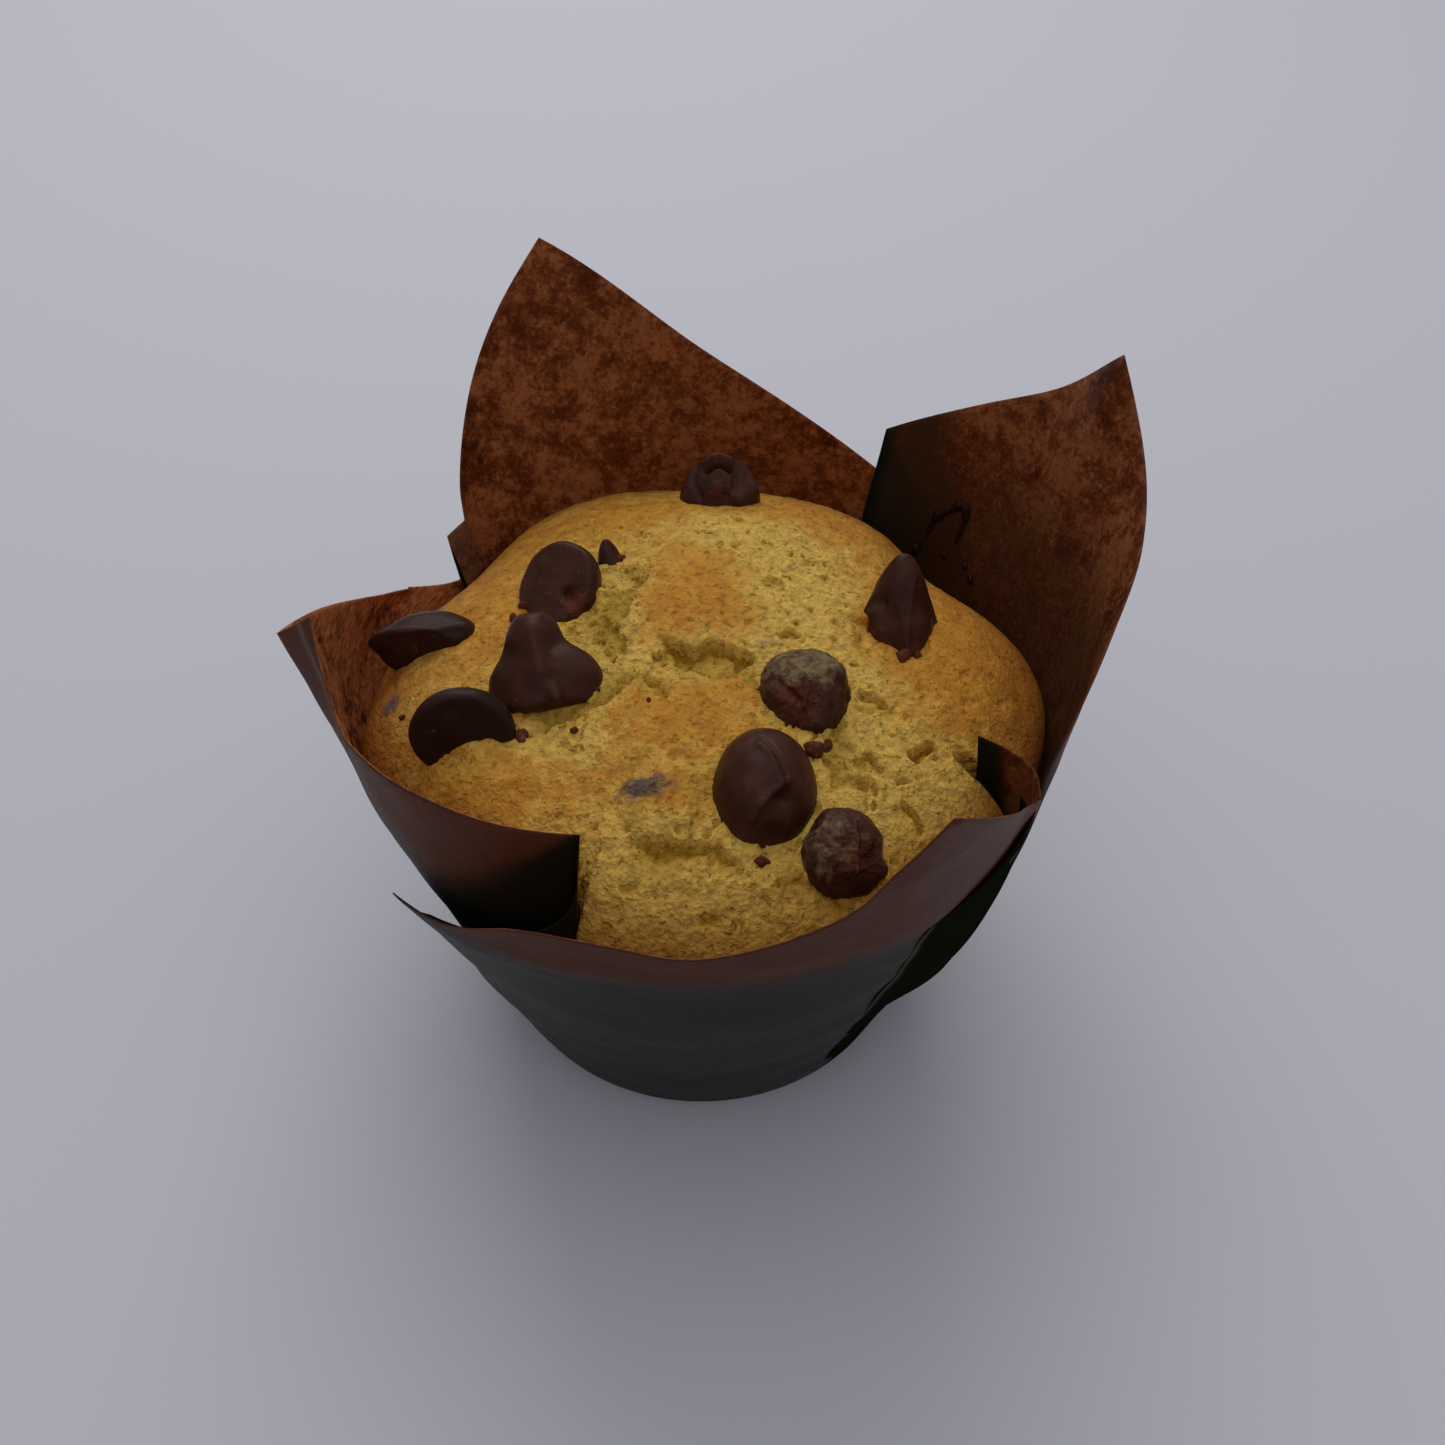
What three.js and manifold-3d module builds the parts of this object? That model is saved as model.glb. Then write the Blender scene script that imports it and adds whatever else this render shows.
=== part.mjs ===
// Chocolate-chip muffin in a folded tulip paper case.
// Millimetres, +Z up. The origin is the middle of the flat base, on the surface the muffin stands on.
// Azimuths are in degrees, anticlockwise from +X seen from above; the front of the muffin faces -Y.

import * as THREE from 'three';
import { mergeVertices } from 'three/addons/utils/BufferGeometryUtils.js';
import Module from 'manifold-3d';

const wasm = await Module();
wasm.setup();

// ---------------------------------------------------------------- driving dimensions

const BASE_RADIUS = 25; // flat round bottom of the case
const WALL_SLOPE = 0.33; // how far the wall leans out for each millimetre of height
const FOOT_BEND = 0.6; // width of the bend between the base and the wall
const WALL_FOOT = BASE_RADIUS + FOOT_BEND;
const PAPER = 0.6; // thickness of one layer of the case
const CLEARANCE = 0.4; // between the case, the crumb and the chips
const PAPER_GAP = 0.3; // least gap kept where a fold leans over the crumb
const SHOULDER = 44; // height to which the batter filled the case; above it the paper is free
const CUP_HEIGHT = 5; // the folds are pressed flat up to here
const CUP_FOLDS = 0.4; // how far the pressed folds stand out of the wall there
const CUP_INNER = 0.1; // and how far they stand in
const CUP_SIDES = 72;
const FOOT = 0.25; // the folded layers start a little above the underside
const BELLY_GAIN = 4.2; // how far a belly of 1 would stand out if it did not fade upwards
const BELLY_FOOT = 0.48; // height share at which a belly begins
const ROWS = 6; // paper rows from the base to the top edge
const WALL_ROWS = 4; // those up to the shoulder, where the edge stands higher than it
const STEPS = 2; // paper columns between two points of a top edge

const CRUMB_RIM = 42; // height where the crown starts
const CRUMB_RADIUS = 38.4;
const CRUMB_LOBE = 0.6; // the crown is fuller towards the four corners of the sheet
const LOBE_AZIMUTH = 23;
const CROWN_HEIGHT = 13.5;
const RIM_START = 0.72; // share of the crown's width that the folds never reach
const RIM_FADE = 8; // how soon the crags start inside the rim
const ROUGHNESS = 0.5;
const CROWN_CELLS = 36;
const CROWN_SEED = 7;
const LOOK_ASIDE = [-2.4, -1.2, 0, 1.2, 2.4]; // degrees to either side that the crumb stays clear of

const CHIP_UNDER = 1.2; // depth of a chip below the middle of its base
const CHIP_FLAT = 0.62; // share of its underside that is flat
const DISC_FLAT = 0.84; // and of one that shows its flat underside
const CHIP_TAPER = 0.92; // how far a pointed chip draws in
const CHIP_CURVE = 0.8; // how early it does so
const CHIP_SIDES = 14;
const UNDER_RINGS = 3;
const CHIP_RINGS = 5;
const QUARTER_TURN = Math.PI / 2;

// ---------------------------------------------------------------- small helpers

const rad = THREE.MathUtils.degToRad;

// A closed triangle mesh as a manifold solid.
function solidOf(geometry) {
  const bare = geometry.clone();
  bare.deleteAttribute('normal');
  bare.deleteAttribute('uv');
  const merged = mergeVertices(bare, 1e-5);
  const vertProperties = new Float32Array(merged.attributes.position.array);
  const triVerts = new Uint32Array(merged.index.array);
  return new wasm.Manifold(new wasm.Mesh({ numProp: 3, vertProperties, triVerts }));
}

// A manifold solid back as a geometry: its largest body, without the specks and sealed pockets
// that joining thin layers can leave.
function geometryOf(solid) {
  const mesh = solid.getMesh();
  const root = Array.from({ length: mesh.vertProperties.length / 3 }, (_, i) => i);
  const rootOf = (i) => {
    while (root[i] !== i) {
      root[i] = root[root[i]];
      i = root[i];
    }
    return i;
  };
  for (let i = 0; i < mesh.triVerts.length; i += 3) {
    root[rootOf(mesh.triVerts[i])] = rootOf(mesh.triVerts[i + 1]);
    root[rootOf(mesh.triVerts[i + 1])] = rootOf(mesh.triVerts[i + 2]);
  }
  const bodies = new Map();
  for (let i = 0; i < mesh.triVerts.length; i += 3) {
    const body = rootOf(mesh.triVerts[i]);
    const faces = bodies.get(body) ?? [];
    faces.push(...mesh.triVerts.slice(i, i + 3));
    bodies.set(body, faces);
  }
  const largest = [...bodies.values()].sort((a, b) => b.length - a.length)[0];
  const positions = new Float32Array(mesh.vertProperties);
  const geometry = new THREE.BufferGeometry();
  geometry.setAttribute('position', new THREE.BufferAttribute(positions, 3));
  geometry.setIndex(largest);
  geometry.computeVertexNormals();
  return geometry;
}

// A geometry from a list of corner points and a list of triangles.
function geometryFrom(points, triangles) {
  const positions = points.flatMap((p) => [p.x, p.y, p.z]);
  const geometry = new THREE.BufferGeometry();
  geometry.setAttribute('position', new THREE.Float32BufferAttribute(positions, 3));
  geometry.setIndex(triangles.flat());
  return geometry;
}

function polar(azimuth, radius, height) {
  const angle = rad(azimuth);
  return new THREE.Vector3(radius * Math.cos(angle), radius * Math.sin(angle), height);
}

// A smooth curve of rows of numbers through the given rows, `steps` pieces between two of them.
function smoothRows(rows, steps) {
  const slope = rows.map((row, i) => {
    const before = rows[Math.max(i - 1, 0)];
    const after = rows[Math.min(i + 1, rows.length - 1)];
    const span = i === 0 || i === rows.length - 1 ? 1 : 2;
    return row.map((_, k) => (after[k] - before[k]) / span);
  });
  const out = [];
  for (let i = 0; i < rows.length - 1; i++) {
    for (let j = 0; j < steps; j++) {
      const t = j / steps;
      const there = 3 * t ** 2 - 2 * t ** 3;
      const leave = t ** 3 - 2 * t ** 2 + t;
      const arrive = t ** 3 - t ** 2;
      const row = rows[i].map((value, k) => {
        const straight = value + (rows[i + 1][k] - value) * there;
        return straight + leave * slope[i][k] + arrive * slope[i + 1][k];
      });
      out.push(row);
    }
  }
  out.push(rows[rows.length - 1]);
  return out;
}

// Random numbers from a seed.
function seeded(seed) {
  let state = seed;
  return () => {
    state = (state * 1664525 + 1013904223) % 4294967296;
    return state / 4294967296;
  };
}

// ---------------------------------------------------------------- the paper case

// One square sheet is pressed into a round cup. Each corner stands up as a panel, and at the middle
// of each side the paper is folded over itself, so that the end of a panel lies outside the start
// of the next one, going round clockwise.
// A row is a point of the top edge:
// [azimuth, radius, height, azimuth at the foot, how far the wall is pushed out at the shoulder, belly].
const BACK_LEFT = [
  [
    [141, 40.5, 47, 147, -0.4, 0],
    [137, 40.2, 48, 142, 0, 0],
  ],
  [
    [137, 40.2, 48, 142, 0, 0],
    [135.5, 41.5, 53, 138, 0, 0],
    [128, 45.5, 62, 130, 0, 0],
    [121.2, 47.4, 69.4, 122, 0, 0],
    [113.5, 48, 77, 113, 0, 0],
  ],
  [
    [113.5, 48, 77, 113, 0, 0],
    [90, 41, 64, 90, 0, 0],
    [57, 41.6, 50, 60, 1.2, 0],
    [44, 44.5, 46, 44, 2.6, 1.5],
  ],
];
const BACK_RIGHT = [
  [
    [57, 42.3, 56, 61, -1.2, 0],
    [42, 45, 63, 45, 0, 0],
    [32, 48.5, 68, 34, 0, 0],
    [23, 49.5, 76, 23, 0, 0],
  ],
  [
    [23, 49.5, 76, 23, 0, 0],
    [14, 49.3, 68, 12, 0, 0],
    [4, 47, 63, 2, 0, 0],
    [-9, 43, 58.5, -10, 0, 0],
    [-25, 40, 51.5, -24, -0.3, 0.4],
    [-35, 40.6, 49.5, -37, -0.1, 1.9],
    [-46, 41.7, 49.8, -48, 0.3, 2.3],
    [-57, 41.1, 46.5, -57, 0.15, 0.3],
  ],
];
const FRONT_RIGHT = [
  [
    [-28, 32.3, 53, -30, -6.5, 0],
    [-28.2, 36, 52.6, -31.5, -3.5, 0],
    [-29.2, 38.8, 51.8, -34, -1.4, 0],
    [-31.5, 40.4, 50, -37, -0.3, 0],
  ],
  [
    [-31.5, 40.4, 50, -37, -0.3, 0],
    [-42, 41.5, 56, -43, 0, 0],
    [-66, 49.8, 75, -62, 0, 0],
  ],
  [
    [-66, 49.8, 75, -62, 0, 0],
    [-69, 47, 66.6, -69, 0, 0],
    [-74, 45.2, 59.7, -75, 0, 0],
    [-89, 43.2, 53.7, -89, 0, 0],
    [-101, 42.8, 54.2, -100, 0, 0],
    [-112, 42.6, 53, -110, 0.3, 0],
    [-124, 41.6, 47, -124, 0.8, -0.5],
    [-138, 41, 43, -140, 1.2, -0.5],
  ],
];
const LEFT = [
  [
    [-110, 31.5, 54.5, -112, -6, 0],
    [-120, 35.3, 57, -121, -3, 0],
    [-132, 37.3, 57.5, -132, -2.2, 0],
    [-142, 38.4, 57, -142, -2.7, 0],
    [-149, 39.5, 58, -150, -2.7, 0],
  ],
  [
    [-149, 39.5, 58, -150, -2.7, 0],
    [-162.5, 39.1, 66, -156, -1.8, 0],
  ],
  [
    [-162.5, 39.1, 66, -156, -1.8, 0],
    [-167, 42.8, 62, -160, -1.4, 0],
  ],
  [
    [-167, 42.8, 62, -160, -1.4, 0],
    [-178, 40.2, 58, -177, -1, 0],
    [-193, 39.3, 51, -193, -0.3, 0],
    [-203, 39.8, 46.3, -204, 0.4, 0],
    [-218, 40.6, 40.4, -216, 1, 0.4],
    [-232, 42, 39.5, -232, 2, 0.8],
  ],
];

// The hidden layer of each fold, from the outer end of one panel back to the start of the next.
const FOLD_BACK_LEFT = [
  LEFT.at(-1).at(-1),
  [-224, 41.2, 43, -222, 0.9, 0.2],
  turned(BACK_LEFT[0][0], -360),
];
const FOLD_BACK = [BACK_LEFT.at(-1).at(-1), [51, 42.4, 51, 53, 0.4, 0.3], BACK_RIGHT[0][0]];
const FOLD_RIGHT = [
  BACK_RIGHT.at(-1).at(-1),
  [-46, 41, 48, -47, 0.1, 0.6],
  [-33, 40, 46.8, -36, -0.4, 0.5],
  [-27.4, 36, 49, -30.5, -3.4, 0],
  FRONT_RIGHT[0][0],
];
const FOLD_FRONT = [
  FRONT_RIGHT.at(-1).at(-1),
  [-118, 39.4, 46, -118, -0.5, 0],
  [-109, 36.2, 49, -110, -3, 0],
  LEFT[0][0],
];

const PANELS = [BACK_LEFT, BACK_RIGHT, FRONT_RIGHT, LEFT];
const FOLDS = [FOLD_BACK_LEFT, FOLD_BACK, FOLD_RIGHT, FOLD_FRONT];

// A row turned by some degrees about the axis.
function turned([azimuth, radius, top, foot, push, belly], turn) {
  return [azimuth + turn, radius, top, foot + turn, push, belly];
}

function wallRadius(height) {
  return WALL_FOOT + WALL_SLOPE * height;
}

// A point of the paper below a point of its top edge: it follows the cone of the wall up to the
// shoulder and then runs straight to the top edge.
function paperPoint([azimuth, radius, top, foot, push, belly], height) {
  const low = Math.min(height, SHOULDER);
  const share = low / SHOULDER;
  const up = Math.max(0, (share - BELLY_FOOT) / (1 - BELLY_FOOT));
  const bulge = belly * BELLY_GAIN * Math.sqrt(up) * (1 - share);
  let r = wallRadius(low) + push * share + bulge;
  if (height > SHOULDER) {
    r += ((radius - r) * (height - SHOULDER)) / (top - SHOULDER);
  }
  return { azimuth: foot + ((azimuth - foot) * height) / top, radius: r };
}

// The columns of a panel or a fold, as rows of the top edge.
function columnsOf(stretches) {
  const columns = [];
  for (const stretch of stretches) {
    const rows = smoothRows(stretch, STEPS);
    columns.push(...(columns.length ? rows.slice(1) : rows));
  }
  return columns;
}

const LAYERS = [
  ...PANELS.map((panel) => columnsOf(panel)),
  ...FOLDS.map((fold) => columnsOf([fold])),
];

// The heights of the rows of paper: the shoulder is always one of them.
function rowHeights(top) {
  const high = top > SHOULDER + 1;
  const below = high ? WALL_ROWS : ROWS;
  const bend = high ? SHOULDER : top;
  const heights = [];
  for (let i = 0; i <= below; i++) {
    heights.push(FOOT + ((bend - FOOT) * i) / below);
  }
  for (let i = below + 1; i <= ROWS; i++) {
    heights.push(bend + ((top - bend) * (i - below)) / (ROWS - below));
  }
  return heights;
}

// Moves a column of points away from its neighbour.
function movedAway(column, neighbour, distance) {
  return column.map((point, j) => {
    const away = new THREE.Vector3().subVectors(point, neighbour[j]).normalize();
    return point.clone().addScaledVector(away, distance);
  });
}

// A layer of paper, made thick to both sides of its middle surface. `grow` widens it on every side.
function paperGeometry(columns, grow) {
  const middle = columns.map((column) =>
    rowHeights(column[2]).map((height) => {
      const p = paperPoint(column, height);
      return polar(p.azimuth, p.radius, height);
    }),
  );
  const last = middle.length - 1;
  middle[0] = movedAway(middle[0], middle[1], grow);
  middle[last] = movedAway(middle[last], middle[last - 1], grow);
  const half = PAPER / 2 + grow;
  const sides = [0, 1].map(() => []);
  middle.forEach((column, i) => {
    column.forEach((point, j) => {
      const next = middle[Math.min(i + 1, last)][j];
      const before = middle[Math.max(i - 1, 0)][j];
      const above = column[Math.min(j + 1, ROWS)];
      const below = column[Math.max(j - 1, 0)];
      const along = new THREE.Vector3().subVectors(next, before);
      const up = new THREE.Vector3().subVectors(above, below);
      const normal = along.cross(up).normalize();
      sides[0].push(point.clone().addScaledVector(normal, half));
      sides[1].push(point.clone().addScaledVector(normal, -half));
    });
  });
  const count = sides[0].length;
  const at = (side, i, j) => side * count + i * (ROWS + 1) + j;
  const triangles = [];
  const quad = (a, b, c, d) => triangles.push([a, b, c], [a, c, d]);
  for (let i = 0; i < last; i++) {
    for (let j = 0; j < ROWS; j++) {
      quad(at(0, i, j), at(0, i + 1, j), at(0, i + 1, j + 1), at(0, i, j + 1));
      quad(at(1, i, j), at(1, i, j + 1), at(1, i + 1, j + 1), at(1, i + 1, j));
    }
    quad(at(0, i, ROWS), at(0, i + 1, ROWS), at(1, i + 1, ROWS), at(1, i, ROWS));
    quad(at(1, i, 0), at(1, i + 1, 0), at(0, i + 1, 0), at(0, i, 0));
  }
  for (let j = 0; j < ROWS; j++) {
    quad(at(1, 0, j), at(0, 0, j), at(0, 0, j + 1), at(1, 0, j + 1));
    quad(at(0, last, j), at(1, last, j), at(1, last, j + 1), at(0, last, j + 1));
  }
  return geometryFrom([...sides[0], ...sides[1]], triangles);
}

// The pressed bottom: a flat disc and a low wall in which the folds lie flat on each other.
function cupGeometry() {
  const outer = PAPER / 2 + CUP_FOLDS;
  const inner = PAPER / 2 + CUP_INNER;
  const cup = new THREE.LatheGeometry(
    [
      new THREE.Vector2(0, 0),
      new THREE.Vector2(wallRadius(0) + outer, 0),
      new THREE.Vector2(wallRadius(CUP_HEIGHT) + outer, CUP_HEIGHT),
      new THREE.Vector2(wallRadius(CUP_HEIGHT) - inner, CUP_HEIGHT),
      new THREE.Vector2(wallRadius(PAPER) - inner, PAPER),
      new THREE.Vector2(0, PAPER),
    ],
    CUP_SIDES,
  );
  return cup.rotateX(Math.PI / 2);
}

function caseSolid() {
  let solid = solidOf(cupGeometry());
  for (const columns of LAYERS) {
    solid = solid.add(solidOf(paperGeometry(columns, 0)));
  }
  return solid;
}

// ---------------------------------------------------------------- the crumb

// The radius of the innermost paper at an azimuth and a height.
function innerPaper(azimuth, height) {
  let inner = wallRadius(Math.min(height, SHOULDER));
  for (const columns of LAYERS) {
    const ring = columns
      .filter((column) => column[2] >= height)
      .map((column) => paperPoint(column, height));
    for (let i = 0; i < ring.length - 1; i++) {
      const span = ring[i + 1].azimuth - ring[i].azimuth;
      const turn = THREE.MathUtils.euclideanModulo(azimuth - ring[i].azimuth + 180, 360) - 180;
      const t = Math.abs(span) < 1e-6 ? -1 : turn / span;
      if (t >= 0 && t <= 1) {
        inner = Math.min(inner, ring[i].radius + t * (ring[i + 1].radius - ring[i].radius));
      }
    }
  }
  return inner;
}

// The crumb stays clear of the paper, also of a fold that runs inward a little to either side.
function crumbLimit(azimuth, height) {
  const sides = LOOK_ASIDE.map((aside) => innerPaper(azimuth + aside, height));
  return Math.min(...sides) - PAPER / 2 - CLEARANCE;
}

// Where the folds hold the crown back, and where it swells: azimuth, half width in degrees, depth.
const PINCHES = [
  [-4, 14, -0.9],
  [32, 16, 4.6],
  [93, 16, 0.9],
  [147, 20, 3.7],
  [181, 12, 1.2],
];

// The full radius of the crown.
function crownOutline(azimuth) {
  let full = CRUMB_RADIUS + CRUMB_LOBE * Math.cos(4 * rad(azimuth - LOBE_AZIMUTH));
  for (const [middle, half, depth] of PINCHES) {
    const away = THREE.MathUtils.euclideanModulo(azimuth - middle + 180, 360) - 180;
    full -= depth * Math.exp(-((away / half) ** 2));
  }
  return full;
}

// The radius of the crown at a share of its full width: only its rim gives way to the paper.
function crownRadius(azimuth, share) {
  const full = crownOutline(azimuth);
  const lost = Math.max(0, full - crumbLimit(azimuth, CRUMB_RIM));
  const near = Math.max(0, (share - RIM_START) / (1 - RIM_START));
  return share * full - lost * near ** 1.5;
}

// Heights of the rings of the crumb's side, down to its underside.
const SIDE_RINGS = [28, 14, PAPER + CLEARANCE];

// Cracks of the crown, in plan: points, how deep and how wide.
const CRACKS = [
  {
    path: [[-8.3, 9.3], [-9.3, 0.4], [-10.3, -4.3], [-6, -10.3], [-0.7, -10.2]],
    depth: 1.5,
    width: 2.4,
  },
  {
    path: [[-4.5, -4.4], [1.3, -5.6], [7, -6.8]],
    depth: 2.2,
    width: 2.8,
  },
  {
    path: [[-9.4, -22], [-7.3, -26.7], [-2.4, -28.4], [2.4, -29.3], [6.2, -28.5]],
    depth: 1.2,
    width: 2,
  },
  {
    path: [[13, -16], [19, -15.6], [24, -15.3], [27, -17.5]],
    depth: 1.3,
    width: 2.4,
  },
  {
    path: [[11, -18], [16, -20], [18.2, -21.2], [20.7, -22.8], [20, -27]],
    depth: 1.2,
    width: 2,
  },
  {
    path: [[8, 13], [12, 9], [15, 2]],
    depth: 0.9,
    width: 2.8,
  },
];

// Plates of crust that stand a little proud: middle, radius and height.
const PLATES = [
  { at: [-1, 7], radius: 9, height: 0.9 },
  { at: [-5, -16.5], radius: 8.5, height: 1.0 },
  { at: [26, -4], radius: 9, height: 0.7 },
  { at: [-25, -20], radius: 8, height: 0.6 },
  { at: [3, 22], radius: 12, height: 0.5 },
  { at: [-3.6, -24.2], radius: 4, height: 0.8 },
];

function distanceToPath(x, y, path) {
  let best = Infinity;
  for (let i = 0; i < path.length - 1; i++) {
    const [startX, startY] = path[i];
    const dx = path[i + 1][0] - startX;
    const dy = path[i + 1][1] - startY;
    const along = ((x - startX) * dx + (y - startY) * dy) / (dx * dx + dy * dy);
    const t = THREE.MathUtils.clamp(along, 0, 1);
    best = Math.min(best, Math.hypot(x - startX - t * dx, y - startY - t * dy));
  }
  return best;
}

// Height of the crags over the smooth crown.
function relief(x, y, roughness) {
  let height = roughness;
  for (const plate of PLATES) {
    const d = Math.hypot(x - plate.at[0], y - plate.at[1]) / plate.radius;
    height += d < 1 ? plate.height * (1 - d ** 4) : 0;
  }
  for (const crack of CRACKS) {
    const d = distanceToPath(x, y, crack.path) / crack.width;
    height -= d < 1 ? crack.depth * (1 - d * d) : 0;
  }
  return height;
}

// A point of a square from -1 to 1, bent to a disc: its azimuth and its share of the radius.
function discPoint(a, b) {
  const share = Math.max(Math.abs(a), Math.abs(b));
  if (share === 0) {
    return { azimuth: 0, share };
  }
  if (Math.abs(a) > Math.abs(b)) {
    return { azimuth: (a < 0 ? 180 : 0) + (45 * b) / a, share };
  }
  return { azimuth: (b < 0 ? -90 : 90) - (45 * a) / b, share };
}

// The crumb: a square grid bent to a disc makes the crown, and rings below its edge make the side.
// Each cell is split along the diagonal that runs outward, so that no face at a corner is a sliver.
function crumbGeometry() {
  const random = seeded(CROWN_SEED);
  const n = CROWN_CELLS;
  const points = [];
  const azimuths = [];
  for (let i = 0; i <= n; i++) {
    for (let j = 0; j <= n; j++) {
      const { azimuth, share } = discPoint((2 * i) / n - 1, (2 * j) / n - 1);
      const p = polar(azimuth, crownRadius(azimuth, share), 0);
      const rough = (random() - 0.5) * ROUGHNESS;
      const fade = Math.min(1, (1 - share) * RIM_FADE);
      const dome = CROWN_HEIGHT * Math.sqrt(1 - share * share);
      p.z = CRUMB_RIM + dome + fade * relief(p.x, p.y, rough);
      points.push(p);
      azimuths.push(azimuth);
    }
  }
  const at = (i, j) => i * (n + 1) + j;
  const triangles = [];
  for (let i = 0; i < n; i++) {
    for (let j = 0; j < n; j++) {
      const [a, b, c, d] = [at(i, j), at(i + 1, j), at(i + 1, j + 1), at(i, j + 1)];
      const outward = (2 * i + 1 - n) * (2 * j + 1 - n) > 0;
      triangles.push(...(outward ? [[a, b, c], [a, c, d]] : [[a, b, d], [b, c, d]]));
    }
  }
  const edge = [];
  for (let k = 0; k < n; k++) edge.push(at(k, 0));
  for (let k = 0; k < n; k++) edge.push(at(n, k));
  for (let k = n; k > 0; k--) edge.push(at(k, n));
  for (let k = n; k > 0; k--) edge.push(at(0, k));
  let above = edge;
  for (const height of SIDE_RINGS) {
    const ring = edge.map((index) => {
      points.push(polar(azimuths[index], crumbLimit(azimuths[index], height), height));
      return points.length - 1;
    });
    ring.forEach((low, k) => {
      const next = (k + 1) % ring.length;
      triangles.push([above[k], low, ring[next]], [above[k], ring[next], above[next]]);
    });
    above = ring;
  }
  points.push(new THREE.Vector3(0, 0, PAPER + CLEARANCE));
  const middle = points.length - 1;
  above.forEach((low, k) => triangles.push([low, middle, above[(k + 1) % above.length]]));
  return geometryFrom(points, triangles);
}

// ---------------------------------------------------------------- the chocolate chips

// A chip is a drop: a round base with a soft edge, and a side that draws in to a blunt tip.
// `at` is the middle of the base, `tip` is the azimuth and elevation of the way the tip points,
// then come the two widths of the base and the height of the drop, `blunt` runs from 0 for
// a pointed drop to 1 for a dome, and `flat` is the flat share of the underside.
function chip(name, at, tip, [wide, deep, tall], blunt, flat = CHIP_FLAT) {
  return { name, at, tip, wide, deep, tall, blunt, flat };
}

const CHIPS = [
  chip('chip_upper_left', [-15.6, 7.4, 54], [62, -55], [9, 10.4, 4.6], 1, DISC_FLAT),
  chip('chip_small', [-9.8, 10.6, 51.9], [110, 58], [3.6, 2.8, 4.9], 0.8),
  chip('chip_left', [-15.9, -8.5, 52.2], [106, 52], [10.8, 9.4, 8.9], 0.5),
  chip('chip_disc', [-23.8, -14.5, 52.8], [96, -20], [10.8, 9.8, 4.2], 0.9, DISC_FLAT),
  chip('chip_far_left', [-29.9, 1.8, 49.6], [105, 24], [11.4, 6.6, 4.4], 1, DISC_FLAT),
  chip('chip_back', [2.3, 26.4, 51], [90, 72], [10, 6.4, 6.3], 1),
  chip('chip_right', [22, 1.9, 51.2], [85, 66], [9.8, 8.8, 9.4], 0.42),
  chip('chip_middle', [10.9, -9.7, 52.8], [-100, 62], [10.1, 11.2, 4.6], 1),
  chip('chip_dome', [6.7, -21.7, 51.4], [-92, 62], [10.5, 13.4, 6], 1),
  chip('chip_front_right', [14.2, -27.9, 49.7], [-70, 55], [8.4, 9.2, 3.2], 1),
];

// The half outline of a chip with a base one unit wide, from the underside to the tip.
function chipOutline({ wide, tall, blunt, flat }, grow) {
  const half = 0.5 + grow / wide;
  const outline = [];
  for (let k = 0; k <= UNDER_RINGS; k++) {
    const angle = (k / UNDER_RINGS) * QUARTER_TURN;
    const width = k > 0 ? flat + (1 - flat) * Math.sin(angle) : 0;
    outline.push(new THREE.Vector2(half * width, -(CHIP_UNDER + grow) * Math.cos(angle)));
  }
  for (let k = 1; k <= CHIP_RINGS; k++) {
    const share = k / CHIP_RINGS;
    const pointed = 1 - CHIP_TAPER * share ** CHIP_CURVE;
    const domed = Math.sqrt(1 - share * share);
    const width = k === CHIP_RINGS ? 0 : (1 - blunt) * pointed + blunt * domed;
    outline.push(new THREE.Vector2(half * width, (tall + grow) * share));
  }
  return outline;
}

// A chip with `grow` added all round: 0 for the chip and the clearance for its socket. Its wide
// way lies level, and its deep way lies in the plane in which the tip leans.
function chipGeometry(drop, grow) {
  const [azimuth, elevation] = drop.tip.map(rad);
  const lathe = new THREE.LatheGeometry(chipOutline(drop, grow), CHIP_SIDES);
  lathe.rotateX(QUARTER_TURN);
  lathe.scale(drop.deep, drop.wide, 1);
  lathe.rotateY(QUARTER_TURN - elevation);
  lathe.rotateZ(azimuth);
  lathe.translate(...drop.at);
  return lathe;
}

function chipSolid(drop, grow) {
  return solidOf(chipGeometry(drop, grow));
}

// ---------------------------------------------------------------- putting it together

const paperLook = new THREE.MeshStandardMaterial({ color: 0x4a2b1c, roughness: 0.55, metalness: 0 });
const crumbLook = new THREE.MeshStandardMaterial({ color: 0xc89546, roughness: 0.9, metalness: 0 });
const chipLook = new THREE.MeshStandardMaterial({ color: 0x3a1f17, roughness: 0.4, metalness: 0 });

let crumb = solidOf(crumbGeometry());
for (const columns of LAYERS) {
  crumb = crumb.subtract(solidOf(paperGeometry(columns, PAPER_GAP)));
}
for (const drop of CHIPS) {
  crumb = crumb.subtract(chipSolid(drop, CLEARANCE));
}

const muffin = new THREE.Group();

function place(name, solid, material) {
  const mesh = new THREE.Mesh(geometryOf(solid), material);
  mesh.name = name;
  muffin.add(mesh);
}

place('case', caseSolid(), paperLook);
place('crumb', crumb, crumbLook);
for (const drop of CHIPS) {
  place(drop.name, chipSolid(drop, 0), chipLook);
}

export default muffin;
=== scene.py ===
"""Chocolate-chip muffin in a folded tulip paper case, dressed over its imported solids.

Sizes are millimetres until a mesh is made, and metres from there on. Azimuths are degrees,
anticlockwise from +X seen from above, and the front of the muffin faces -Y.
"""

import logging
import math
from dataclasses import dataclass, field
from itertools import product

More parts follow.
